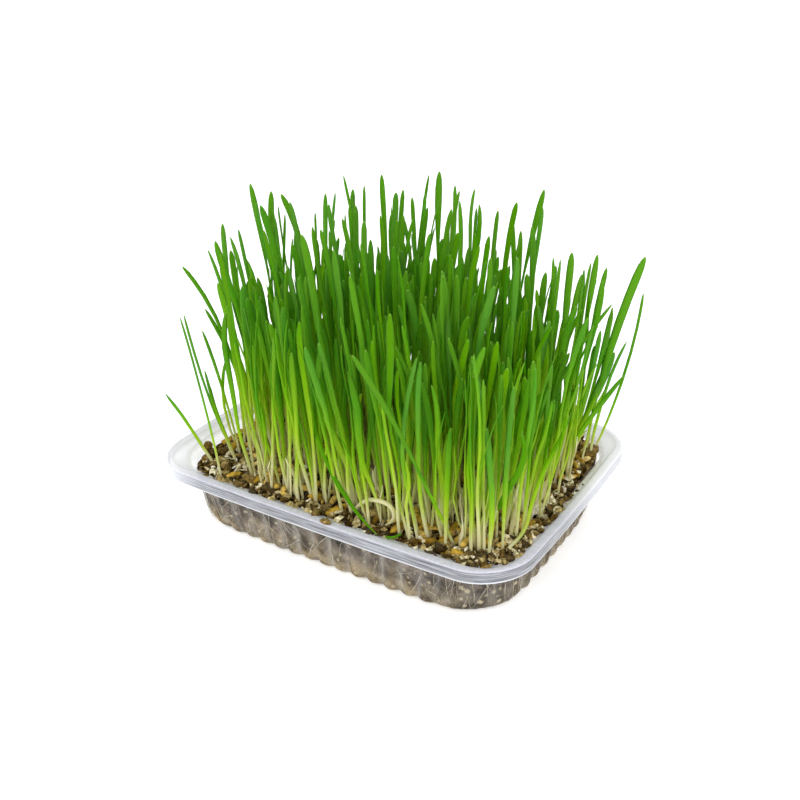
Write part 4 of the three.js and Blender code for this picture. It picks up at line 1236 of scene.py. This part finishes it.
def shapeBlades(blades, draw):
    # Points of every blade round its centre line, which wanders a little and nods at its tip.
    count = len(blades["height"])
    length = (blades["height"] - stand["plugTop"])[:, None]
    below = bladeRows(length)
    shares = 1 - below / length
    centre = centreLine(blades, shares)
    inside = np.sin(np.pi * np.clip(shares, 0, 1))[..., None]
    phase = draw.random((count, 1, 2)) * 2 * np.pi
    waves = drawBetween(draw, count, bladeForm["waves"])[..., None] * shares[..., None]
    free = (1 - bladeForm["steadiness"] * blades["fixed"])[:, None, None]
    wander = drawBetween(draw, count, bladeForm["wander"])[..., None] * free
    centre[..., :2] += wander * inside * np.sin(2 * np.pi * waves + phase)
    nod = bladeForm["nod"] * free * eitherWay(draw, count, 1, 2)
    centre[..., :2] += nod * (np.clip(1 - below / bladeForm["nodLength"], 0, 1) ** 2)[..., None]
    stem = blades["sheath"][:, None]
    taper, broad = widthShares(below, draw)
    half = (stem + broad * (bladeForm["slimness"] * blades["width"][:, None] - stem)) / 2 * taper
    thick = bladeForm["stemThick"] * stem * (1 - broad) + bladeForm["bladeThick"] * broad
    thick = thick * (bladeForm["tipThick"] + (1 - bladeForm["tipThick"]) * taper)
    fold = bladeForm["fold"] * broad * half
    angle = blades["turn"][:, None] + blades["twist"][:, None] * shares
    across = np.stack([np.cos(angle), np.sin(angle), np.zeros_like(angle)], -1)
    centre = keepInBox(centre, (half + thick)[..., None] + bladeForm["boxRoom"], shares)
    points, body, back = sweepBody(centre, across, half, thick, fold)
    pale = blades["youth"][:, None] + bladeForm["paleSpread"] * free[..., 0] * draw.random((count, 1))
    ripe = np.clip((points[..., 2] - stand["plugTop"]) / (pale * bladeForm["ripening"]), 0, 1)
    tone = np.repeat(draw.random((count, 1)), points.shape[1], 1)
    return {"points": points, "body": body, "back": back, "ripe": ripe, "tone": tone}


def putBlades(name, form, chosen, material):
    # One mesh of the chosen blades of a form.
    values = {key: form[key][chosen] for key in ("ripe", "tone")}
    values["back"] = np.tile(form["back"], chosen.sum())
    return putCopies(name, form["points"][chosen], form["body"], material, values)


def keepInBox(centre, reach, shares):
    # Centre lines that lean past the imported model's box bend back inside it. Along each axis the furthest
    # overshoot is taken off in proportion to the height, up to the row where it is.
    low = np.array(cadBox[0]) / millimetre + reach
    high = np.array(cadBox[1]) / millimetre - reach
    past = centre - np.clip(centre, low, high)
    row = np.abs(past).argmax(1)[:, None]
    most = np.take_along_axis(past, row, 1)
    shares = np.broadcast_to(shares[..., None], centre.shape)
    share = np.maximum(bladeForm["leastShare"], np.take_along_axis(shares, row, 1))
    centre = centre - most * np.clip(shares / share, 0, 1)
    return np.clip(centre, low, high)


def growTufts(blades, material):
    draw = np.random.default_rng(stand["seed"])
    form = shapeBlades(blades, draw)
    for tuft in np.unique(blades["tuft"]):
        label = f"{tuft // stand['columns'] + 1}_{tuft % stand['columns'] + 1}"
        piece = putBlades(f"grassTuft_{label}", form, blades["tuft"] == tuft, material)
        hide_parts(f"tuft_{label}")
    print("tufts grown:", len(blades["height"]), "blades")


extraGrass = {
    "seed": 614, "pitch": 5.6, "reachX": (-73.0, 76.5), "reachY": (-54.5, 57.0), "stray": 2.4, "skip": 0.1,
    "bareLine": ((-57.0, -45.0), (-38.0, -57.0)), "edge": 1.0, "strips": 6, "lean": 10.0, "twist": 1.5,
    "width": (2.2, 1.3), "stem": (0.95, 0.5), "lower": 7.0, "least": 22.0,
    "endLower": 10.0, "endReach": (38.0, 70.0),
    # fewer in the front band, where the soil shows between the stems
    "frontBand": (-38.0, -24.0), "frontSkip": 0.86, "straighter": 0.2,
    # shoots are thin, leaning and shorter
    "shootShare": 0.4, "shootWidth": (1.2, 1.2), "shootStem": (0.8, 0.4), "shootLower": (8.0, 54.0),
    "shootLean": 8.0,
}
# single stems close behind the rim, from the left of the front side round to the right side
rimStems = {
    "seed": 77, "count": 28, "steps": (0.16, 2.85), "inset": (10.4, 5.0), "corner": 13.5,
    "height": (62.0, 66.0), "lean": 9.0, "width": (1.5, 1.3), "stem": (1.0, 0.5), "youth": 9.0,
}
# pale pointed tubes that wrap the feet of the outer stems
footTubes = {
    "seed": 31, "count": 38, "steps": (0.12, 2.9), "inset": (12.0, 16.0), "corner": 13.5,
    "height": (42.0, 13.0), "lean": 4.0, "width": (1.5, 0.8), "stem": (1.3, 0.7), "youth": 60.0,
}


def beyondBareLine(spot):
    # True in the front left corner, where nothing came up.
    (x1, y1), (x2, y2) = extraGrass["bareLine"]
    return (x2 - x1) * (spot[:, 1] - y1) - (y2 - y1) * (spot[:, 0] - x1) < 0


def looseBlades(spot, height, lean, width, stem, draw, youth):
    # Blades that stand on their own spots, in the form that shapeBlades takes.
    count = len(spot)
    heading = 2 * np.pi * draw.random(count)
    blades = {
        "spot": spot, "root": spot, "height": height,
        "lean": (lean * draw.random(count))[:, None] * np.column_stack([np.cos(heading), np.sin(heading)]),
        "turn": np.pi * draw.random(count), "twist": extraGrass["twist"] * eitherWay(draw, count),
        "width": width, "sheath": stem, "youth": np.full(count, youth), "freedom": np.ones(count),
        "fixed": np.zeros(count, bool), "fixedKnee": np.zeros((count, 2)), "fixedTip": np.zeros((count, 2)),
    }
    poseBlades(blades)
    blades["knee"] = blades["knee"] + extraGrass["straighter"] * blades["lean"]
    return blades


def sowExtras():
    # A second, closer lattice of blades between those of the tufts, some of them thin shoots.
    draw = np.random.default_rng(extraGrass["seed"])
    pitch = extraGrass["pitch"]
    placesX = np.arange(*extraGrass["reachX"], pitch)
    placesY = np.arange(*extraGrass["reachY"], pitch)
    gridX, gridY = np.meshgrid(placesX, placesY)
    stray = extraGrass["stray"] * eitherWay(draw, gridX.size, 2)
    spot = latticePoint(gridX.ravel(), gridY.ravel()) + stray
    frontShadeShare = 1 - smoothStep(*extraGrass["frontBand"], spot[:, 1])
    skip = extraGrass["skip"] + extraGrass["frontSkip"] * frontShadeShare
    kept = (draw.random(len(spot)) > skip) & ~beyondBareLine(spot)
    kept &= edgeRoom(spot[:, 0], spot[:, 1]) > extraGrass["edge"]
    spot = spot[kept]
    count = len(spot)
    thin = draw.random(count) < extraGrass["shootShare"]
    height = tipHeights(spot, draw.random(count), draw.random(count) + draw.random(count) - 1)
    lower = drawBetween(draw, count, extraGrass["shootLower"])[:, 0]
    height = height - np.where(thin, lower, extraGrass["lower"])
    height = height - extraGrass["endLower"] * smoothStep(*extraGrass["endReach"], spot[:, 0])
    height = np.maximum(height, stand["plugTop"] + extraGrass["least"])
    pick = lambda thinPair, widePair: np.where(thin, drawBetween(draw, count, thinPair)[:, 0],
                                               drawBetween(draw, count, widePair)[:, 0])
    width = pick(extraGrass["shootWidth"], extraGrass["width"])
    stem = pick(extraGrass["shootStem"], extraGrass["stem"])
    lean = extraGrass["lean"] + extraGrass["shootLean"] * thin
    return looseBlades(spot, height, lean, width, stem, draw, bladeForm["paleLeast"])


def sowAlongRim(kind):
    # Places along the rim, between two steps round the tray and two insets from its lip.
    draw = np.random.default_rng(kind["seed"])
    count = kind["count"]
    start, end = kind["steps"]
    inset = drawBetween(draw, count, kind["inset"])[:, 0]
    spot = trayPoint(inset, inset + kind["corner"], 0.0, start + (end - start) * draw.random(count))[:, :2]
    draws = [drawBetween(draw, count, kind[key])[:, 0] for key in ("height", "width", "stem")]
    return looseBlades(spot, draws[0], kind["lean"], *draws[1:], draw, kind["youth"])


drawnForm = {
    "turn": 0.58, "spread": 0.9, "twist": 0.3,
    # middle of the camera's square view and its focal length, in pixels
    "middle": 400, "focal": 965.5,
    # how much of the tip's slope the foot takes, and the knee's place from foot to tip before the search
    "footShare": 0.45, "kneeShare": 0.4,
    "stiffness": 0.02, "firstStep": 4.0, "leastStep": 0.05, "rounds": 40, "samples": 120, "gain": 1e-9,
    "decimals": 1,
}
# Blades that stand out on their own, each in an upright plane across x or y. The tip, the points that the
# blade passes on its way down and a foot that is seen are pixels of the view. The rest is in millimetres: a
# known foot, knee or top, and the foot that a blade is moved to at the end.
drawnBlades = [
    {"x": -75, "tip": (250, 183), "past": [(262, 240)], "width": 3.0},
    {"x": -72, "tip": (271, 191), "past": [(271, 240)], "width": 3.2},
    {"x": -70, "tip": (275, 216), "past": [(280, 262)], "width": 1.7},
    {"x": -66, "tip": (285, 213), "past": [(284, 262)], "width": 1.5},
    {"x": -78, "tip": (222, 223), "past": [(226, 262)], "width": 2.6},
    {"x": -74, "tip": (238, 229), "past": [(252, 295)], "width": 1.8},
    {"x": -77, "tip": (231, 250), "past": [(238, 300)], "width": 3.0},
    {"x": -62, "tip": (299, 229), "past": [(301, 280)], "width": 2.4},
    {"y": 50, "tip": (316, 212), "past": [(317, 260)], "width": 1.5},
    {"y": 54, "tip": (325, 193), "past": [(325, 240)], "width": 2.8, "footMoved": (-75.5, 52.0)},
    {"y": 52, "tip": (335, 192), "past": [(331, 240)], "width": 1.6},
    {"y": 56, "tip": (343, 175), "past": [(353, 220)], "width": 1.6},
    {"y": 50, "tip": (352, 189), "past": [(353, 240)], "width": 2.8},
    {"y": 54, "tip": (364, 185), "past": [(365, 250)], "width": 1.8},
    {"y": 57, "tip": (381, 174), "past": [(385, 230)], "width": 3.0},
    {"y": 50, "tip": (390, 214), "past": [(391, 250)], "width": 2.4},
    {"y": 53, "tip": (404, 189), "past": [(400, 240)], "width": 2.8},
    {"y": 56, "tip": (411, 197), "past": [(414, 240)], "width": 2.4},
    {"y": 50, "tip": (427, 207), "past": [(421, 260)], "width": 2.4},
    {"y": 57, "tip": (429, 174), "past": [(421, 230)], "width": 1.7},
    {"y": 57, "tip": (439, 171), "past": [(438, 230)], "width": 3.6},
    {"y": 52, "tip": (449, 222), "past": [(447, 260)], "width": 2.2},
    {"y": 55, "tip": (470, 205), "past": [(470, 250)], "width": 1.8},
    {"y": 52, "tip": (477, 208), "past": [(473, 250)], "width": 1.7},
    {"y": 50, "tip": (498, 210), "past": [(493, 260)], "width": 2.8},
    {"y": 54, "tip": (512, 218), "past": [(514, 262)], "width": 2.4},
    {"y": 50, "tip": (521, 230), "past": [(519, 270)], "width": 2.6},
    {"y": 54, "tip": (545, 189), "past": [(530, 245)], "width": 3.0},
    {"y": 52, "tip": (543, 207), "past": [(537, 250)], "width": 2.2},
    {"x": 70, "tip": (553, 257), "past": [(553, 300)], "width": 1.6},
    {"x": 72, "tip": (561, 259), "past": [(556, 300)], "width": 1.6},
    {"x": 74, "tip": (571, 252), "past": [(567, 300)], "width": 3.2},
    {"x": 76, "tip": (590, 262), "past": [(583, 310)], "width": 1.6, "foot": (76, 24)},
    {"x": 78, "tip": (598, 254), "past": [(587, 315)], "width": 2.9, "foot": (78, 22)},
    {"x": 78, "tip": (606, 267), "past": [(592, 330)], "width": 2.6, "foot": (79, 20)},
    {"x": 74, "tip": (582, 274), "past": [(572, 320)], "width": 3.0, "foot": (74, 10)},
    {"y": 36, "tip": (613, 304), "past": [(575, 355)], "width": 1.8, "foot": (66, 20)},
    {"y": 46, "tip": (613, 307), "past": [(606, 350)], "width": 2.2, "foot": (80, 34)},
    {"y": 48, "tip": (626, 341), "past": [(613, 370)], "width": 1.5, "foot": (82, 40)},
    {"y": -42, "tip": (473, 360), "past": [(480, 400)], "width": 2.6},
    {"y": -40, "tip": (447, 337), "past": [(458, 370), (470, 415)], "width": 2.4},
    {"y": -46, "tip": (425, 363), "past": [(425, 400)], "width": 2.6},
    {"y": -40, "tip": (422, 303), "past": [(432, 337), (438, 367)], "width": 2.2},
    {"y": -34, "tip": (534, 360), "past": [(532, 400)], "width": 3.0, "footMoved": (82.5, -33.0)},
    {"y": -30, "tip": (509, 357), "past": [(511, 400)], "width": 2.6},
    {"y": -40, "tip": (501, 374), "past": [(500, 410)], "width": 2.4},
    {"y": -46, "tip": (513, 386), "past": [(510, 420)], "width": 2.4},
    {"y": -56, "tip": (451, 429), "past": [(448, 470)], "width": 2.8},
    {"y": -52, "tip": (475, 410), "past": [(473, 450)], "width": 2.6},
    {"y": -54, "tip": (487, 427), "past": [(490, 470)], "width": 2.6, "footMoved": (77.5, -52.0)},
    {"y": -48, "tip": (396, 347), "past": [(417, 387), (428, 430)], "width": 2.4},
    {"y": -40, "tip": (303, 317), "past": [(317, 347), (327, 393)], "width": 2.4},
    {"y": -20, "tip": (443, 270), "past": [(446, 310)], "width": 3.0},
    {"y": -16, "tip": (457, 275), "past": [(456, 320)], "width": 3.2},
    {"y": -10, "tip": (490, 257), "past": [(489, 300)], "width": 2.4},
    {"y": -6, "tip": (517, 257), "past": [(514, 300)], "width": 3.0},
    {"y": -30, "tip": (340, 290), "past": [(341, 330)], "width": 2.8},
    {"top": (-75.8, -40, 91.0), "past": [(211, 352), (217, 370), (222, 390)],
     "width": 1.8, "foot": (-64, -37)},
    {"top": (-70, -33, 75.0), "past": [(223, 400)], "width": 1.6, "foot": (-68.5, -33)},
    {"top": (-71.5, -44, 67.0), "past": [(216, 410)], "width": 1.8, "foot": (-64.5, -41)},
    {"top": (-76.5, -36, 100.0), "past": [(219, 330), (228, 352)], "width": 2.0, "foot": (-64, -28)},
    {"y": 10, "tip": (421, 262), "past": [(423, 300)], "width": 3.0},
    {"y": 5, "tip": (432, 272), "past": [(430, 310)], "width": 2.6},
    {"y": 0, "tip": (410, 280), "past": [(412, 320)], "width": 2.8},
    {"y": -8, "tip": (425, 300), "past": [(424, 340)], "width": 2.6},
    {"y": 4, "tip": (400, 268), "past": [(398, 300)], "width": 2.4},
    {"x": 85, "tip": (611.7, 310), "past": [(606.7, 333), (595, 383)], "width": 2.6, "footSeen": (574, 448)},
    {"x": 86, "tip": (615.8, 351.7), "past": [(606.7, 373.3), (590, 406.7)],
     "width": 4.2, "footSeen": (566, 455)},
    {"x": 82, "tip": (595, 345.8), "past": [(590, 373), (584, 396.7)], "width": 2.0, "footSeen": (570, 452)},
    {"x": 83, "tip": (601, 330), "past": [(589, 385)], "width": 2.6, "footSeen": (565, 458)},
    {"x": 84, "tip": (605, 366), "past": [(592, 400)], "width": 2.4, "footSeen": (562, 462)},
    {"x": 84, "tip": (598, 392), "past": [(586, 418)], "width": 2.2, "footSeen": (560, 466)},
    {"x": 84, "tip": (609, 384), "past": [(598, 405)], "width": 2.0, "footSeen": (570, 450)},
    {"foot": (44.0, -57.5), "knee": (36.5, -56.0), "top": (28.5, -52.0, 82.0), "width": 1.8},
    {"foot": (48.0, -57.0), "knee": (41.5, -55.5), "top": (34.5, -53.0, 86.0), "width": 1.8},
]


def inView(points):
    # Where points show in the camera's view, in pixels.
    right, top, back, eye = cameraAxes(cameraView)
    away = points - eye
    across = np.stack([away @ right, -(away @ top)], -1)
    return drawnForm["middle"] - drawnForm["focal"] * across / (away @ back)[..., None]


def onPlane(pixel, axis, level):
    # The point that shows at a pixel, on the plane across an axis at a level.
    right, top, back, eye = cameraAxes(cameraView)
    middle, focal = drawnForm["middle"], drawnForm["focal"]
    ray = right * (pixel[0] - middle) / focal + top * (middle - pixel[1]) / focal - back
    ray /= np.linalg.norm(ray)
    return eye + (level - eye[axis]) / ray[axis] * ray


def findKnee(foot, tip, past):
    # The knee with which the blade passes nearest to its pixels, searched round and round in smaller steps.
    start = foot + drawnForm["kneeShare"] * (tip[:2] - foot)
    around = np.stack(np.meshgrid([-1, 0, 1], [-1, 0, 1], indexing="ij"), -1).reshape(-1, 2)
    share = np.linspace(0, 1, drawnForm["samples"])[None]
    knee, least, step = start, np.inf, drawnForm["firstStep"]
    for _ in range(drawnForm["rounds"]):
        tries = knee + step * around
        height = np.full(len(tries), tip[2])
        blades = {"root": foot[None], "knee": tries, "tip": tip[None, :2], "height": height}
        line = inView(centreLine(blades, share))
        apart = np.linalg.norm(line[:, :, None] - np.array(past), axis=-1).min(axis=1)
        miss = (apart ** 2).sum(axis=1) + drawnForm["stiffness"] * ((tries - start) ** 2).sum(axis=1)
        if miss.min() < least - drawnForm["gain"]:
            knee, least = tries[miss.argmin()], miss.min()
        else:
            step /= 2
        if step < drawnForm["leastStep"]:
            break
    return knee


def drawnPlaces(blade):
    # Foot, knee and tip of a blade, from what shows or is known of it.
    if "knee" in blade:
        return (*blade["foot"], *blade["knee"], *blade["top"])
    axis = 0 if "x" in blade else 1
    level = blade.get("x", blade.get("y"))
    tip = np.array(blade["top"], float) if "top" in blade else onPlane(blade["tip"], axis, level)
    if "footSeen" in blade:
        foot = onPlane(blade["footSeen"], 2, stand["plugTop"])[:2]
    elif "foot" in blade:
        foot = np.array(blade["foot"], float)
    else:
        middle = onPlane(blade["past"][-1], axis, level)
        slope = (tip - middle)[:2] / (tip - middle)[2]
        foot = middle[:2] - slope * drawnForm["footShare"] * (middle[2] - stand["plugTop"])
    knee = findKnee(foot, tip, blade["past"])
    places = (*blade.get("footMoved", foot), *knee, *tip)
    return [round(float(place), drawnForm["decimals"]) for place in places]


def placeDrawn():
    drawn = np.array([drawnPlaces(blade) for blade in drawnBlades])
    foot, knee, tip, height = drawn[:, :2], drawn[:, 2:4], drawn[:, 4:6], drawn[:, 6]
    width = np.array([blade["width"] for blade in drawnBlades])
    count = len(drawn)
    draw = np.random.default_rng(count)
    stem = np.full(count, stand["stemLeast"])
    blades = looseBlades(foot, height, 0.0, width, stem, draw, bladeForm["paleLeast"])
    turn = drawnForm["turn"] + drawnForm["spread"] * (draw.random(count) - 0.5)
    twist = drawnForm["twist"] * eitherWay(draw, count)
    return blades | {"knee": knee, "tip": tip, "fixed": np.ones(count, bool), "turn": turn, "twist": twist}


def smoothPath(points, rows):
    # Catmull-Rom curves through the points, cut into equal steps.
    points = np.array(points, float)
    padded = np.concatenate([2 * points[:1] - points[1:2], points, 2 * points[-1:] - points[-2:-1]])
    share = np.linspace(0, 1, bentForm["piecesPerSpan"] + 1)[:-1, None]
    pieces = []
    for before, start, end, after in zip(padded, padded[1:], padded[2:], padded[3:]):
        straight = 2 * start + (end - before) * share
        square = (2 * before - 5 * start + 4 * end - after) * share ** 2
        cube = (3 * start - before - 3 * end + after) * share ** 3
        pieces.append((straight + square + cube) / 2)
    curve = np.concatenate([*pieces, points[-1:]])
    along = np.concatenate([[0.0], np.linalg.norm(np.diff(curve, axis=0), axis=1).cumsum()])
    steps = np.linspace(0, along[-1], rows)
    return np.stack([np.interp(steps, along, curve[:, axis]) for axis in range(3)], -1)


bentForm = {
    "rows": 30, "piecesPerSpan": 8, "tone": 0.4,
    # shares of the length that narrow at the foot and, at most, more at the end, and the least left there
    "narrowing": (0.1, 0.3), "narrowPower": 0.6, "leastWidth": 0.2, "leastDepth": 0.3,
}
# path, way its width lies, width, thickness, how ripe it is at its two ends and how far its end tapers
bentStems = [
    ([(13.6, -56, 28), (15.3, -56, 32.1), (17.5, -56, 35.9), (20.2, -56, 38.7), (23.3, -56, 41.2),
      (26.8, -56, 42.3), (30.8, -56, 42.6), (34.2, -56, 41.8), (36, -56, 39), (35.4, -56, 35.4),
      (31.8, -56, 31.7), (28.5, -56, 29.5)],
     (0, 1, 0), 2.2, 1.7, 0.02, 0.07, 0.5),
    ([(-6, -53, 82), (-2.5, -55.5, 68), (1.8, -57, 59.3), (6.2, -58, 52.4), (8.8, -58.5, 47.7),
      (14, -59.2, 42.4), (19.3, -60.2, 37.4), (27.5, -63, 34.2), (34, -66, 33.8)],
     (0.42, 0.6, 0.55), 1.9, 0.6, 0.5, 1.0, 0.25),
    ([(36, -63.2, 31.8), (38.2, -64, 32.6), (40.3, -63.6, 33), (41.6, -61, 33.2), (41, -58.5, 31.5)],
     (0, 0, 1), 1.2, 0.7, 0.8, 0.7, 0.5),
    ([(81.6, -47.4, 29.5), (82.8, -46.4, 32), (83.8, -41.8, 33), (84.3, -36.8, 34), (85, -33.6, 37.6),
      (85.5, -32.5, 43.4), (87, -29.2, 53.8), (88.5, -23.9, 62.1), (90, -16.5, 68.9), (91, -9, 78)],
     (0.84, 0.54, 0), 1.6, 1.3, 0.02, 0.75, 0.8),
    ([(77.6, -45, 47.5), (78.6, -45, 50.5), (82, -45, 59.3), (85.6, -45, 67.1), (87.5, -44, 76),
      (85.5, -43, 84)],
     (0.9, 0.3, -0.3), 2.4, 0.5, 1.0, 0.8, 0.6),
]


def bendStems(material):
    # Stems and leaves that arch, hang or curl over: bodies swept along their own paths, narrower at the ends.
    share = np.linspace(0, 1, bentForm["rows"])[None]
    paths, across, *columns = zip(*bentStems)
    centre = np.stack([smoothPath(path, bentForm["rows"]) for path in paths])
    across = np.broadcast_to(np.array(across, float)[:, None], centre.shape)
    widths, depths, start, end, taper = (np.array(column)[:, None] for column in columns)
    atFoot, atEnd = bentForm["narrowing"]
    narrow = np.minimum(share / atFoot, (1 - share) / (atFoot + atEnd * (1 - taper)))
    narrow = np.minimum(1, narrow) ** bentForm["narrowPower"]
    half = widths / 2 * np.maximum(bentForm["leastWidth"], narrow)
    depth = depths / 2 * np.maximum(bentForm["leastDepth"], narrow)
    centre = keepInBox(centre, (half + depth)[..., None] + bladeForm["boxRoom"], share)
    points, body, _ = sweepBody(centre, across, half, depth, half * 0)
    rowShare = np.append(np.repeat(share[0], bladeForm["sides"]), [0.0, 1.0])[None]
    values = {
        "ripe": start + (end - start) * rowShare, "tone": np.full(points.shape[:2], bentForm["tone"]),
        "back": np.zeros(points.shape[:2]),
    }
    putCopies("bentStems", points, body, material, values)


def growExtras(material):
    groups = [sowExtras(), sowAlongRim(rimStems), sowAlongRim(footTubes), placeDrawn()]
    blades = {key: np.concatenate([group[key] for group in groups]) for key in groups[0]}
    form = shapeBlades(blades, np.random.default_rng(extraGrass["seed"] + 1))
    order = np.argsort(np.argsort(blades["spot"][:, 1])) * extraGrass["strips"] // len(blades["height"])
    for strip in range(extraGrass["strips"]):
        putBlades(f"betweenGrass_{strip + 1}", form, order == strip, material)
    print("extra blades:", len(blades["height"]))


wallRoots = {
    "seed": 47, "count": 300, "places": 7, "top": 27.8, "deep": 22.0, "length": (4.0, 15.0), "drift": 0.2,
    "wiggle": 0.0035, "thick": (0.05, 0.11), "taper": 0.6, "clear": 0.1, "lowest": 1.8,
    "topPower": 1.5, "driftPower": 3, "rough": 0.7, "shine": 0.1, "specks": (300.0, 2.0),
    "colours": ((0.3, 152, 138, 108), (0.7, 206, 200, 184)),
}


def rootMaterial():
    material, tree, shader = startMaterial("paleRoot", {
        "Roughness": wallRoots["rough"], "Specular IOR Level": wallRoots["shine"],
    })
    speck = noiseFrom(tree, objectPlace(tree), *wallRoots["specks"])
    feed(tree, shader.inputs["Base Color"], paintRamp(tree, speck, wallRoots["colours"]))
    return material


def makeRoots():
    # Thin roots that slant down the soil's side, each a walk in steps along the wall and in height.
    draw = np.random.default_rng(wallRoots["seed"])
    count = wallRoots["count"]
    share = np.linspace(0, 1, wallRoots["places"])[None]
    top = wallRoots["top"] - wallRoots["deep"] * draw.random((count, 1)) ** wallRoots["topPower"]
    height = np.maximum(wallRoots["lowest"], top - drawBetween(draw, count, wallRoots["length"]) * share)
    drift = wallRoots["drift"] * eitherWay(draw, count, 1) ** wallRoots["driftPower"]
    waves = share * (1 + draw.random((count, 1))) + draw.random((count, 1))
    wiggle = wallRoots["wiggle"] * np.sin(2 * np.pi * waves)
    step = (stepsRound * draw.random((count, 1)) + drift * share + wiggle) % stepsRound
    alongX = trayPoint(*soilShape["rings"][-1][:2], 0.0, step)[..., 0]
    height = np.minimum(height, wallRoots["top"] - endDip(alongX))
    inset, radius, flute = soilEdge(height)
    centre = trayPoint(inset - wallRoots["clear"], radius, height, step, flute)
    half = drawBetween(draw, count, wallRoots["thick"]) * (1 - wallRoots["taper"] * share)
    across = np.stack([-centre[..., 1], centre[..., 0], 0 * height], -1)
    points, body, _ = sweepBody(centre, across, half, half, half * 0)
    putCopies("wallRoots", points, body, rootMaterial())
    print("roots against the wall:", count)


placeCamera(cameraView)
setStage(stageSettings)
makeTray()
makeSoil()
grown = refineStand(sowStand())
growTufts(grown, bladeMaterial("wheatBlade"))
betweenMaterial = bladeMaterial("wheatBladeBetween")
growExtras(betweenMaterial)
bendStems(betweenMaterial)
scatterSoil(latticePoint(*tuftGrid()))
makeRoots()

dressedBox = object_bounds()
boxes = {"cad": cadBox, "visual": dressedBox}
{name: [list(corner) for corner in box] for name, box in boxes.items()}
